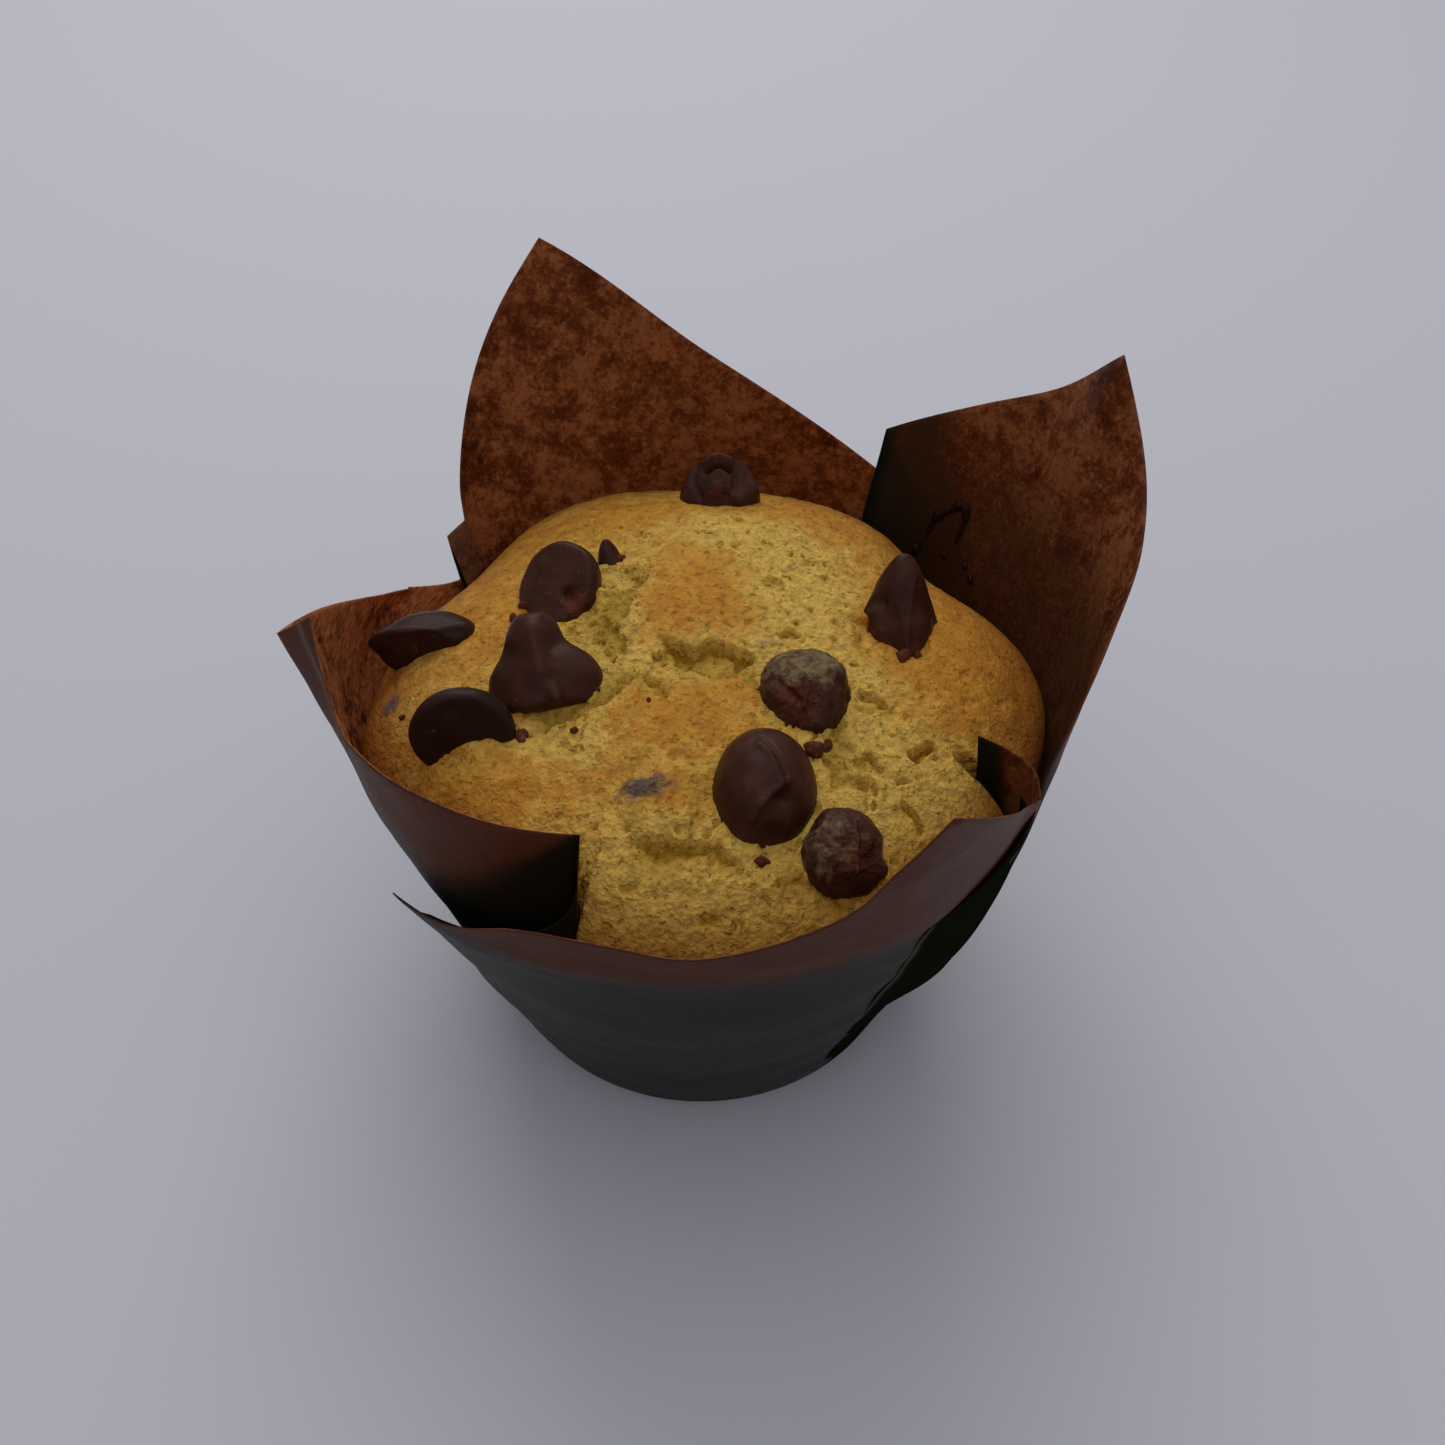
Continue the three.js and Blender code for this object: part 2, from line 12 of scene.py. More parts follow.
import bpy
import numpy as np
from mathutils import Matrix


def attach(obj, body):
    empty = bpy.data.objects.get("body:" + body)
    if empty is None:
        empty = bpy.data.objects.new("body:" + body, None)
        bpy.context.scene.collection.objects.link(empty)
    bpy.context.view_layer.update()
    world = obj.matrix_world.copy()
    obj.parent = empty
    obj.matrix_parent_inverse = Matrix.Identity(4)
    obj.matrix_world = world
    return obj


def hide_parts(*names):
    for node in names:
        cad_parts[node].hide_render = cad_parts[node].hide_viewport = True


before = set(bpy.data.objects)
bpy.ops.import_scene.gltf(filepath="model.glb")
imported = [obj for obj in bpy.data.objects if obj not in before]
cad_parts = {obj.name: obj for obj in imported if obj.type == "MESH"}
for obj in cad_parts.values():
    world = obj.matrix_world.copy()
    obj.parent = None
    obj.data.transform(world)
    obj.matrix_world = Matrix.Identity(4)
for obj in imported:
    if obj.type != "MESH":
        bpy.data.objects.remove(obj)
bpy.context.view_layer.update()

LOG = logging.getLogger("muffin")
MM = 0.001
TINY = 1e-9


# ---------------------------------------------------------------- numbers on arrays


def smoothstep(low: float, high: float, value: np.ndarray) -> np.ndarray:
    """An S-shaped step, 3t^2 - 2t^3 of the share t that a value lies between two limits.

    Args:
        low: value where the step starts.
        high: value where it ends.
        value: the values.

    Returns:
        0 below the lower limit, 1 above the upper one.
    """
    t = np.clip((value - low) / (high - low), 0.0, 1.0)
    return t * t * (3.0 - 2.0 * t)


def bell(away: np.ndarray, width: float) -> np.ndarray:
    """The bell exp(-(away / width)^2), 1 in its middle."""
    return np.exp(-((away / width) ** 2))


def unit(vectors: np.ndarray) -> np.ndarray:
    """Vectors brought to the length 1."""
    return vectors / np.maximum(np.linalg.norm(vectors, axis=-1), TINY)[..., None]


def eased(line: np.ndarray, rounds: int) -> None:
    """Softens the bends of a line of points in place, each round by (last + 2 own + next) / 4."""
    for _ in range(rounds):
        line[1:-1] = (line[:-2] + 2.0 * line[1:-1] + line[2:]) / 4.0


def polar(azimuth: np.ndarray, radius: np.ndarray, height: np.ndarray) -> np.ndarray:
    """Points at azimuths in degrees, radii and heights, as (r cos a, r sin a, h)."""
    angle = np.radians(azimuth)
    parts = np.broadcast_arrays(radius * np.cos(angle), radius * np.sin(angle), height)
    return np.stack(parts, axis=-1)


def direction(azimuth: float, elevation: float) -> np.ndarray:
    """The unit vector at an azimuth and an elevation above the horizon, both in degrees."""
    level = math.cos(math.radians(elevation))
    a = math.radians(azimuth)
    return np.array([level * math.cos(a), level * math.sin(a), math.sin(math.radians(elevation))])


def apart(look: np.ndarray, azimuth: float, elevation: float) -> np.ndarray:
    """Degrees between unit vectors and the way at an azimuth and an elevation."""
    return np.degrees(np.arccos(np.clip(look @ direction(azimuth, elevation), -1.0, 1.0)))


def seen_from_front(right: float, up: float) -> np.ndarray:
    """The unit vector some degrees right of and above the one that looks front and half up."""
    r, u = math.radians(right), math.radians(up)
    half = math.sqrt(0.5)
    forward, sideways = math.cos(r) * math.cos(u), math.sin(r) * math.cos(u)
    return np.array([sideways, half * (math.sin(u) - forward), half * (math.sin(u) + forward)])


def distance_to_path(points: np.ndarray, path: np.ndarray) -> np.ndarray:
    """The distance from each point to a line of straight pieces.

    For each piece from a to b the nearest point is a + t (b - a), with
    t = (p - a).(b - a) / |b - a|^2 held between 0 and 1.

    Args:
        points: (..., n) points.
        path: (m, n) corners of the line.

    Returns:
        (...) distances.
    """
    best = np.full(points.shape[:-1], np.inf)
    for start, end in zip(path[:-1], path[1:]):
        span = end - start
        t = np.clip(((points - start) @ span) / (span @ span), 0.0, 1.0)
        best = np.minimum(best, np.linalg.norm(points - start - t[..., None] * span, axis=-1))
    return best


def beside_path(points: np.ndarray, path: np.ndarray) -> tuple[np.ndarray, np.ndarray]:
    """How far each point of a plan lies beside a line of straight pieces, and how far along it.

    Args:
        points: (..., 2) points.
        path: (m, 2) corners of the line.

    Returns:
        Distances, above 0 to the left of the line, and the share of the line that is passed.
    """
    spans = path[1:] - path[:-1]
    lengths = np.linalg.norm(spans, axis=1)
    passed = np.concatenate([[0.0], np.cumsum(lengths)])
    best = np.full(points.shape[:-1], np.inf)
    beside, along = np.zeros(best.shape), np.zeros(best.shape)
    for k, (start, span, length) in enumerate(zip(path[:-1], spans, lengths)):
        off = points - start
        t = np.clip((off @ span) / length**2, 0.0, 1.0)
        distance = np.linalg.norm(off - t[..., None] * span, axis=-1)
        side = np.where(span[0] * off[..., 1] - span[1] * off[..., 0] < 0.0, -1.0, 1.0)
        nearer = distance < best
        best = np.where(nearer, distance, best)
        beside = np.where(nearer, side * distance, beside)
        along = np.where(nearer, (passed[k] + t * length) / passed[-1], along)
    return beside, along


class GradientNoise:
    """Smooth noise in space from a seed, about -1 to 1.

    Each whole point has a random direction g. The noise at p is the sum over the eight whole points
    c round it of w (g . (p - c)), where w is the product of the fades 6t^5 - 15t^4 + 10t^3.
    """

    def __init__(self, seed: int) -> None:
        """Draws the order of the directions and the directions from the seed."""
        random = np.random.default_rng(seed)
        self.order = np.tile(random.permutation(256), 2)
        self.arrows = unit(random.normal(size=(256, 3)))

    def at(self, points: np.ndarray) -> np.ndarray:
        """The noise at (..., 3) points, one octave with cells of one unit."""
        cell = np.floor(points).astype(int)
        t = points - cell
        fade = t**3 * (t * (t * 6.0 - 15.0) + 10.0)
        total = np.zeros(points.shape[:-1])
        for corner in product((0, 1), repeat=3):
            step = np.array(corner)
            whole = (cell + step) & 255
            index = self.order[whole[..., 0]] + whole[..., 1]
            index = self.order[index & 255] + whole[..., 2]
            arrow = self.arrows[self.order[index & 255]]
            weight = np.prod(np.where(step == 1, fade, 1.0 - fade), axis=-1)
            total += weight * np.sum(arrow * (t - step), axis=-1)
        return total * 1.6

    def clumps(self, points: np.ndarray, size: float) -> np.ndarray:
        """Rounded grains with narrow valleys, |n(p)| + |n(2p)| / 2 less its mean, -0.4 to 0.8."""
        coarse, fine = self.at(points / size), self.at(points * 2.0 / size + 5.1)
        return np.abs(coarse) + 0.5 * np.abs(fine) - 0.42

    def fractal(self, points: np.ndarray, size: float, octaves: int) -> np.ndarray:
        """Octaves of noise added up, each half as large and half as strong as the one before.

        Args:
            points: (..., 3) points.
            size: width of the largest spots.
            octaves: how many octaves.

        Returns:
            (...) values, about -1 to 1.
        """
        total = np.zeros(points.shape[:-1])
        for k in range(octaves):
            total += self.at(points * 2.0**k / size + 17.3 * k) / 2.0**k
        return total / (2.0 - 2.0 ** (1 - octaves))


@dataclass(frozen=True)
class Pits:
    """Small holes scattered over a plan, at most one in each cell of a grid.

    Attributes:
        cell: width of a cell.
        share: share of the cells that have a hole.
        least: smallest radius of a hole.
        most: largest radius.
        seed: seed of the places and sizes.
    """

    cell: float
    share: float
    least: float
    most: float
    seed: int

    def depth(self, x: np.ndarray, y: np.ndarray) -> np.ndarray:
        """Depth of the holes, the largest of 1 - (d / r)^2 over the nine cells round a point.

        Args:
            x: first coordinate.
            y: second coordinate.

        Returns:
            0 outside the holes, up to 1 in the middle of one.
        """
        random = np.random.default_rng(self.seed)
        draws = random.random((64, 64, 6))
        column = np.floor(x / self.cell).astype(int)
        row = np.floor(y / self.cell).astype(int)
        best = np.zeros(x.shape)
        for i, j in product((-1, 0, 1), repeat=2):
            draw = draws[(column + i) & 63, (row + j) & 63]
            dx = x - (column + i + 0.15 + 0.7 * draw[..., 0]) * self.cell
            dy = y - (row + j + 0.15 + 0.7 * draw[..., 1]) * self.cell
            turn = np.pi * draw[..., 2]
            along = dx * np.cos(turn) + dy * np.sin(turn)
            across = -dx * np.sin(turn) + dy * np.cos(turn)
            radius = self.least + (self.most - self.least) * draw[..., 3] ** 2
            d2 = (along**2 / (1.0 + 1.6 * draw[..., 5]) + across**2) / radius**2
            best = np.maximum(best, np.where(draw[..., 4] < self.share, 1.0 - d2, 0.0))
        return best


def softened(values: np.ndarray, rounds: int) -> np.ndarray:
    """A grid of values blurred: each round takes half the value and an eighth of each neighbour."""
    for _ in range(rounds):
        beside = sum(np.roll(values, step, axis) for axis in (0, 1) for step in (1, -1))
        values = values / 2.0 + beside / 8.0
    return values


# ---------------------------------------------------------------- meshes


@dataclass
class Surface:
    """A mesh in the making: points in millimetres, faces, and named values at the points."""

    points: np.ndarray
    faces: list[np.ndarray]
    values: dict[str, np.ndarray] = field(default_factory=dict)

    def build(self, name: str, material: bpy.types.Material) -> bpy.types.Object:
        """Makes the object, at the origin, unturned and unscaled, with smooth faces.

        Args:
            name: name of the object.
            material: its material.

        Returns:
            The linked object.
        """
        mesh = bpy.data.meshes.new(name)
        corners = np.concatenate([f.ravel() for f in self.faces])
        totals = np.concatenate([np.full(len(f), f.shape[1]) for f in self.faces])
        starts = np.concatenate([[0], np.cumsum(totals)[:-1]])
        mesh.vertices.add(len(self.points))
        mesh.vertices.foreach_set("co", (self.points * MM).astype(np.float32).ravel())
        mesh.loops.add(len(corners))
        mesh.loops.foreach_set("vertex_index", corners.astype(np.int32))
        mesh.polygons.add(len(totals))
        mesh.polygons.foreach_set("loop_start", starts.astype(np.int32))
        mesh.polygons.foreach_set("use_smooth", np.ones(len(totals), bool))
        for key, value in self.values.items():
            attribute = mesh.attributes.new(key, "FLOAT", "POINT")
            attribute.data.foreach_set("value", value.astype(np.float32).ravel())
        mesh.materials.append(material)
        mesh.update(calc_edges=True)
        mesh.validate()
        piece = bpy.data.objects.new(name, mesh)
        bpy.context.scene.collection.objects.link(piece)
        return piece


def joined(parts: list[Surface]) -> Surface:
    """Several surfaces as one, with the values that they all have."""
    shift = np.cumsum([0] + [len(p.points) for p in parts[:-1]])
    faces = [f + s for p, s in zip(parts, shift) for f in p.faces]
    shared = set.intersection(*[set(p.values) for p in parts])
    values = {k: np.concatenate([p.values[k].ravel() for p in parts]) for k in sorted(shared)}
    return Surface(np.concatenate([p.points for p in parts]), faces, values)


def grid_faces(index: np.ndarray) -> np.ndarray:
    """Four-cornered faces over a grid of point numbers, in the turn i, then j."""
    a, b = index[:-1, :-1], index[1:, :-1]
    c, d = index[1:, 1:], index[:-1, 1:]
    return np.stack([a, b, c, d], axis=-1).reshape(-1, 4)


def grid_normals(points: np.ndarray) -> np.ndarray:
    """Unit normals of a grid of points, from the cross product of its two directions."""
    return unit(np.cross(np.gradient(points, axis=0), np.gradient(points, axis=1)))


def fans(index: np.ndarray) -> list[np.ndarray]:
    """Two fans of triangles that close the ends of a tube.

    Args:
        index: (around + 1, rings) point numbers of the tube, with its first row again at the end.

    Returns:
        The fans at the first and the last ring, about the two points numbered after the tube's.
    """
    low = np.full(len(index) - 1, index.max() + 1)
    return [
        np.stack([low, index[1:, 0], index[:-1, 0]], axis=1),
        np.stack([low + 1, index[:-1, -1], index[1:, -1]], axis=1),
    ]


def tube_faces(around: int, rings: int) -> list[np.ndarray]:
    """Faces of a closed tube whose points are numbered ring by ring at each turn, ends last."""
    index = np.arange(around * rings).reshape(around, rings)
    index = np.concatenate([index, index[:1]])
    return [grid_faces(index), *fans(index)]


def place(piece: bpy.types.Object, slot: str, *nodes: str) -> None:
    """Ties a finished piece to the body, and hides the nodes that it stands for.

    Args:
        piece: the finished object.
        slot: material slot of the record; not used.
        nodes: names of the nodes that it replaces.
    """
    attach(piece, "root")
    if nodes:
        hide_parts(*nodes)
    LOG.info("%s: %d points, replaces %s", piece.name, len(piece.data.vertices), nodes or "nothing")


# ---------------------------------------------------------------- finishes


class Socket:
    """An output socket whose operators add Math nodes to its material."""

    def __init__(self, graph: "Graph", socket: bpy.types.NodeSocket) -> None:
        """Wraps a socket of a graph."""
        self.graph = graph
        self.socket = socket

    def _maths(self, operation: str, *values: "Socket | float") -> "Socket":
        """A Math node of an operation on some values."""
        inputs = dict(enumerate(values))
        return self.graph.node("ShaderNodeMath", {"operation": operation}, inputs)

    def __add__(self, other: "Socket | float") -> "Socket":
        """Self plus other."""
        return self._maths("ADD", self, other)

    def __radd__(self, other: float) -> "Socket":
        """Other plus self."""
        return self._maths("ADD", other, self)

    def __sub__(self, other: "Socket | float") -> "Socket":
        """Self minus other."""
        return self._maths("SUBTRACT", self, other)

    def __rsub__(self, other: float) -> "Socket":
        """Other minus self."""
        return self._maths("SUBTRACT", other, self)

    def __mul__(self, other: "Socket | float") -> "Socket":
        """Self times other."""
        return self._maths("MULTIPLY", self, other)

    def step(self, low: float, high: float) -> "Socket":
        """A smooth step from 0 to 1 between two limits."""
        settings = {"interpolation_type": "SMOOTHSTEP"}
        limits = {0: self, 1: low, 2: high, 3: 0.0, 4: 1.0}
        return self.graph.node("ShaderNodeMapRange", settings, limits)


Colour = tuple[float, float, float]


class Graph:
    """The node graph of one material: a Principled shader and what feeds it."""

    noise_roughness: float = 0.55

    def __init__(self, name: str) -> None:
        """Makes a material with one Principled shader."""
        self.material = bpy.data.materials.new(name)
        self.material.use_nodes = True
        self.nodes = self.material.node_tree.nodes
        self.links = self.material.node_tree.links
        self.shader = self.nodes["Principled BSDF"]
        self.place = self.node("ShaderNodeTexCoord", {}, {}, "Object")

    def node(
        self,
        kind: str,
        settings: dict[str, object],
        inputs: dict[int | str, object],
        output: int | str = 0,
    ) -> Socket:
        """Adds a node.

        Args:
            kind: type of the node.
            settings: its properties, set first.
            inputs: values or sockets for its inputs.
            output: which output is given back.

        Returns:
            The output, wrapped.
        """
        node = self.nodes.new(kind)
        for key, value in settings.items():
            setattr(node, key, value)
        for key, value in inputs.items():
            if isinstance(value, Socket):
                self.links.new(value.socket, node.inputs[key])
            else:
                node.inputs[key].default_value = value
        return Socket(self, node.outputs[output])

    def value(self, name: str) -> Socket:
        """A named value of the mesh."""
        settings = {"attribute_type": "GEOMETRY", "attribute_name": name}
        return self.node("ShaderNodeAttribute", settings, {}, "Fac")

    def noise(
        self,
        size: float,
        detail: float = 2.0,
        stretch: tuple[float, float, float] = (1.0, 1.0, 1.0),
    ) -> Socket:
        """Noise on the object's own coordinates.

        Args:
            size: width of its spots, in millimetres.
            detail: how many finer layers it has.
            stretch: how many times closer the spots lie along each axis.

        Returns:
            Its value, from 0 to 1.
        """
        scaled = self.node("ShaderNodeMapping", {}, {"Vector": self.place, "Scale": stretch})
        inputs = {
            "Vector": scaled,
            "Scale": 1.0 / (size * MM),
            "Detail": detail,
            "Roughness": self.noise_roughness,
        }
        return self.node("ShaderNodeTexNoise", {"noise_dimensions": "3D"}, inputs)

    def grains(self, size: float) -> Socket:
        """Rounded grains of a size in millimetres, 1 in the middle of each and less outside."""
        scale = 1.0 / (size * MM)
        noise = {"Vector": self.place, "Scale": scale, "Detail": 1.0}
        wander = self.node("ShaderNodeTexNoise", {"noise_dimensions": "3D"}, noise, "Color")
        shift = {0: wander, 1: (size * MM,) * 3, 2: self.place}
        moved = self.node("ShaderNodeVectorMath", {"operation": "MULTIPLY_ADD"}, shift)
        cells = {"Vector": moved, "Scale": scale, "Smoothness": 0.5}
        return 1.0 - self.node("ShaderNodeTexVoronoi", {"feature": "SMOOTH_F1"}, cells, "Distance")

    def mix(
        self,
        factor: "Socket | float",
        first: "Socket | Colour",
        second: "Socket | Colour",
    ) -> Socket:
        """A colour between two colours."""
        inputs = {"Factor": factor}
        for key, colour in ((6, first), (7, second)):
            inputs[key] = colour if isinstance(colour, Socket) else (*colour, 1.0)
        settings = {"data_type": "RGBA", "blend_type": "MIX"}
        return self.node("ShaderNodeMix", settings, inputs, 2)

    def scaled(self, colour: Socket, factor: Socket) -> Socket:
        """A colour made darker or lighter by a factor."""
        inputs = {"Vector": colour, "Scale": factor}
        return self.node("ShaderNodeVectorMath", {"operation": "SCALE"}, inputs)

    def bump(self, height: Socket, distance: float, strength: float) -> None:
        """Feeds a height, in units of a distance in millimetres, to the shader's normal."""
        inputs = {"Height": height, "Distance": distance * MM, "Strength": strength}
        self.feed("Normal", self.node("ShaderNodeBump", {}, inputs))

    def dulled(self, factor: Socket, colour: Colour) -> None:
        """Mixes the shader with a matt one of one colour, which has no sheen."""
        matt = self.node("ShaderNodeBsdfDiffuse", {}, {"Color": (*colour, 1.0)})
        both = {0: factor, 1: Socket(self, self.shader.outputs[0]), 2: matt}
        surface = self.node("ShaderNodeMixShader", {}, both)
        self.links.new(surface.socket, self.nodes["Material Output"].inputs["Surface"])

    def feed(self, name: str, value: "Socket | float | tuple[float, ...]") -> None:
        """Sets or links an input of the shader."""
        if isinstance(value, Socket):
            self.links.new(value.socket, self.shader.inputs[name])
        else:
            self.shader.inputs[name].default_value = value

    def scatter(self, weight: float, radius: tuple[float, float, float]) -> None:
        """Lets light through the surface.

        Args:
            weight: share of the light that goes in.
            radius: how far its red, green and blue reach, in metres.
        """
        self.feed("Subsurface Weight", weight)
        self.feed("Subsurface Radius", radius)
        self.feed("Subsurface Scale", 1.0)


@dataclass(frozen=True)
class PaperFinish:
    """Dark greaseproof paper, mottled, painted warm and light where light would come through and
    dark before crumb, with painted shade and painted crease highlights.
    """

    warm: Colour = (0.150, 0.038, 0.0110)
    # Lighter inner colour: the paper's light specks and mottle, and painted light in place of light
    # through the paper.
    light: Colour = (0.360, 0.130, 0.0480)
    dark: Colour = (0.042, 0.0110, 0.0040)
    # Painted light: outer colour above the crumb, lighter and browner in place of light through the
    # paper.
    outside: Colour = (0.084, 0.029, 0.0140)
    # Outer colour where crumb lies behind: darker with grease and painted shade.
    backed: Colour = (0.0310, 0.0295, 0.0245)
    # Painted shade: colour where folds lie behind the paper or it lies in a shadowed pocket.
    layered: Colour = (0.0130, 0.0112, 0.0056)
    # Darkest inner colour: grease, and painted shade where no light comes through.
    grease_and_shade: Colour = (0.0310, 0.0160, 0.0062)
    # Painted shade: matt colour of the shaded outer parts, which also takes away their sheen.
    hidden: Colour = (0.0102, 0.0120, 0.0060)
    # Painted highlight: light grey colour on creases.
    painted_highlight: Colour = (0.150, 0.110, 0.085)
    roughness: float = 0.50
    refraction: float = 1.40
    shine: float = 0.13
    upright: tuple[float, float, float] = (1.0, 1.0, 5.0)
    translucency: float = 0.22
    light_reach: tuple[float, float, float] = (0.0010, 0.0006, 0.0004)

    def material(self) -> bpy.types.Material:
        """Makes the material.

        It reads `inside`, 1 on the inner face, `free`, 1 where no crumb backs the paper, where the
        outer face is painted lighter in place of light through it, `layered`, 1 where folds lie
        behind it, painted as shade, `stain`, above 0 where the inner face is painted darker with
        grease and shade and below 0 where it is painted lighter in place of light through the
        paper, and
        `crease`, 1 on a crease with a painted highlight.
        """
        g = Graph("greaseproof_paper")
        inside, free, stain = g.value("inside"), g.value("free"), g.value("stain")
        layered, crease = g.value("layered"), g.value("crease")
        cloud, patch = g.noise(8.0), g.noise(2.4, 3.0)
        speck, fibre = g.noise(0.9, 3.0), g.noise(0.42)
        streaks = g.noise(1.6, 3.0, self.upright)
        tone = cloud * 0.45 + patch * 0.45 + speck * 0.35 + fibre * 0.30
        # Painted light: the inner face painted lighter, with stronger streaks, in place of light
        # through the paper.
        painted_through_light = (0.0 - stain).step(0.0, 1.0)
        inner = g.mix(painted_through_light * 0.8, self.warm, self.light)
        inner = g.mix(tone.step(0.70, 0.95), inner, self.light)
        inner = g.mix((1.55 - tone).step(0.74, 0.98), inner, self.dark)
        inner = g.mix((speck + fibre * 0.5).step(0.86, 1.0) * 0.35, inner, self.light)
        # Grease and painted shade: the inner face painted darker.
        grease_and_shade_mask = (stain + (patch - 0.5) * 0.9 + (cloud - 0.5) * 0.5).step(0.05, 1.05)
        inner = g.mix(grease_and_shade_mask, inner, self.grease_and_shade)
        inner = g.scaled(inner, 1.0 + (streaks - 0.44) * painted_through_light * 3.4)
        # Painted light: the outer face is painted lighter above the crumb, in place of light
        # through the paper; below it the backed colour stands for grease and painted shade.
        outer = g.mix((free + (streaks - 0.5) * 0.9).step(0.1, 0.95), self.backed, self.outside)
        outer = g.scaled(outer, 0.55 + (streaks * 0.6 + speck * 0.4) * 0.9)
        colour = g.mix(inside, outer, inner)
        # Painted shade where folds lie behind the paper.
        colour = g.mix(layered * (0.86 + patch * 0.2), colour, self.layered)
        # Painted highlight on creases.
        g.feed("Base Color", g.mix(crease * 0.8, colour, self.painted_highlight))
        g.feed("Roughness", self.roughness + (speck - 0.5) * 0.25 + layered * 0.35)
        g.feed("IOR", self.refraction)
        g.feed("Specular IOR Level", self.shine)
        g.scatter(self.translucency, self.light_reach)
        g.bump(fibre * 0.5 + streaks * 0.8 + patch * 0.5, 0.16, 0.5)
        # Painted shade: the shaded outer parts are mixed with a matt dark shader, without sheen.
        g.dulled(layered * (1.0 - inside) * (1.0 - crease), self.hidden)
        return g.material


@dataclass(frozen=True)
class CrumbFinish:
    """Baked crumb: golden skin, paler broken crumb, browned rim, grey over hidden chocolate, and
    painted shade in hollows, holes and pores.
    """

    golden: Colour = (0.680, 0.308, 0.029)
    toasted: Colour = (0.560, 0.215, 0.020)
    pale: Colour = (0.770, 0.465, 0.086)
    torn: Colour = (0.480, 0.285, 0.034)
    browned: Colour = (0.370, 0.118, 0.014)
    # Painted shade: colour of hollows, holes and pores.
    deep: Colour = (0.420, 0.200, 0.006)
    cocoa: Colour = (0.150, 0.095, 0.075)
    cinnamon: Colour = (0.330, 0.100, 0.020)
    roughness: float = 0.66
    shine: float = 0.2
    translucency: float = 0.10
    light_reach: tuple[float, float, float] = (0.0016, 0.0008, 0.0003)

    def material(self) -> bpy.types.Material:
        """Makes the material.

        It reads `crust`, 1 on golden skin, `torn`, 1 on broken crumb, `browning`, 1 at the rim,
        `hollow`, how far a point lies below its surroundings, and `pit`, 1 at the bottom of a hole,
        both painted darker as shade, and `cocoa`, 1 over hidden chocolate.
        """
        g = Graph("baked_crumb")
        spot, grain, fine = g.noise(2.6, 3.0), g.noise(0.8, 3.0), g.noise(0.30)
        lumps, bits = g.grains(1.3), g.grains(0.55)
        uneven, browning = grain - 0.5, g.value("browning")
        crust = (g.value("crust") + (spot - 0.5) * 1.3 + uneven * 1.3).step(0.05, 1.10)
        rough = (1.0 - crust * 0.35) * (1.0 - browning * 0.5)
        baked = (spot * 0.6 + grain * 0.5 + fine * 0.2).step(0.52, 0.86)
        colour = g.mix(crust, self.pale, g.mix(baked, self.golden, self.toasted))
        colour = g.mix((g.value("torn") + uneven * 0.5).step(0.15, 0.95), colour, self.torn)
        colour = g.mix((browning + (spot - 0.5) * 0.35).step(0.05, 1.0), colour, self.browned)
        # The colour follows the bumped grains, lighter on them and darker between them: partly the
        # crumb's own speckle, partly painted shade.
        speckle = lumps * 0.55 + bits * 0.45 - 0.50
        colour = g.scaled(colour, 0.655 + fine * 0.30 + grain * 0.36 + speckle * rough * 0.90)
        # Painted shade: the deep colour in hollows, holes and pores.
        colour = g.mix(g.value("hollow").step(0.10, 0.75) * 0.9, colour, self.deep)
        colour = g.mix(g.value("pit"), colour, self.deep)
        pore = (1.0 - g.noise(0.75, 3.0)).step(0.58, 0.72)
        colour = g.mix(pore * (0.20 + rough * 0.36), colour, self.deep)
        colour = g.mix(g.noise(1.1, 1.0).step(0.76, 0.80) * 0.5, colour, self.cinnamon)
        cocoa = (g.value("cocoa") * 1.3 + uneven * 0.9).step(0.15, 0.95)
        g.feed("Base Color", g.mix(cocoa, colour, self.cocoa))
        g.feed("Roughness", self.roughness + uneven * 0.3)
        g.feed("Specular IOR Level", self.shine)
        g.scatter(self.translucency, self.light_reach)
        height = (lumps * 0.8 + bits * 0.9) * rough + grain * 0.35 + fine * 0.45 - pore * 0.7
        g.bump(height, 0.28, 1.0)
        return g.material


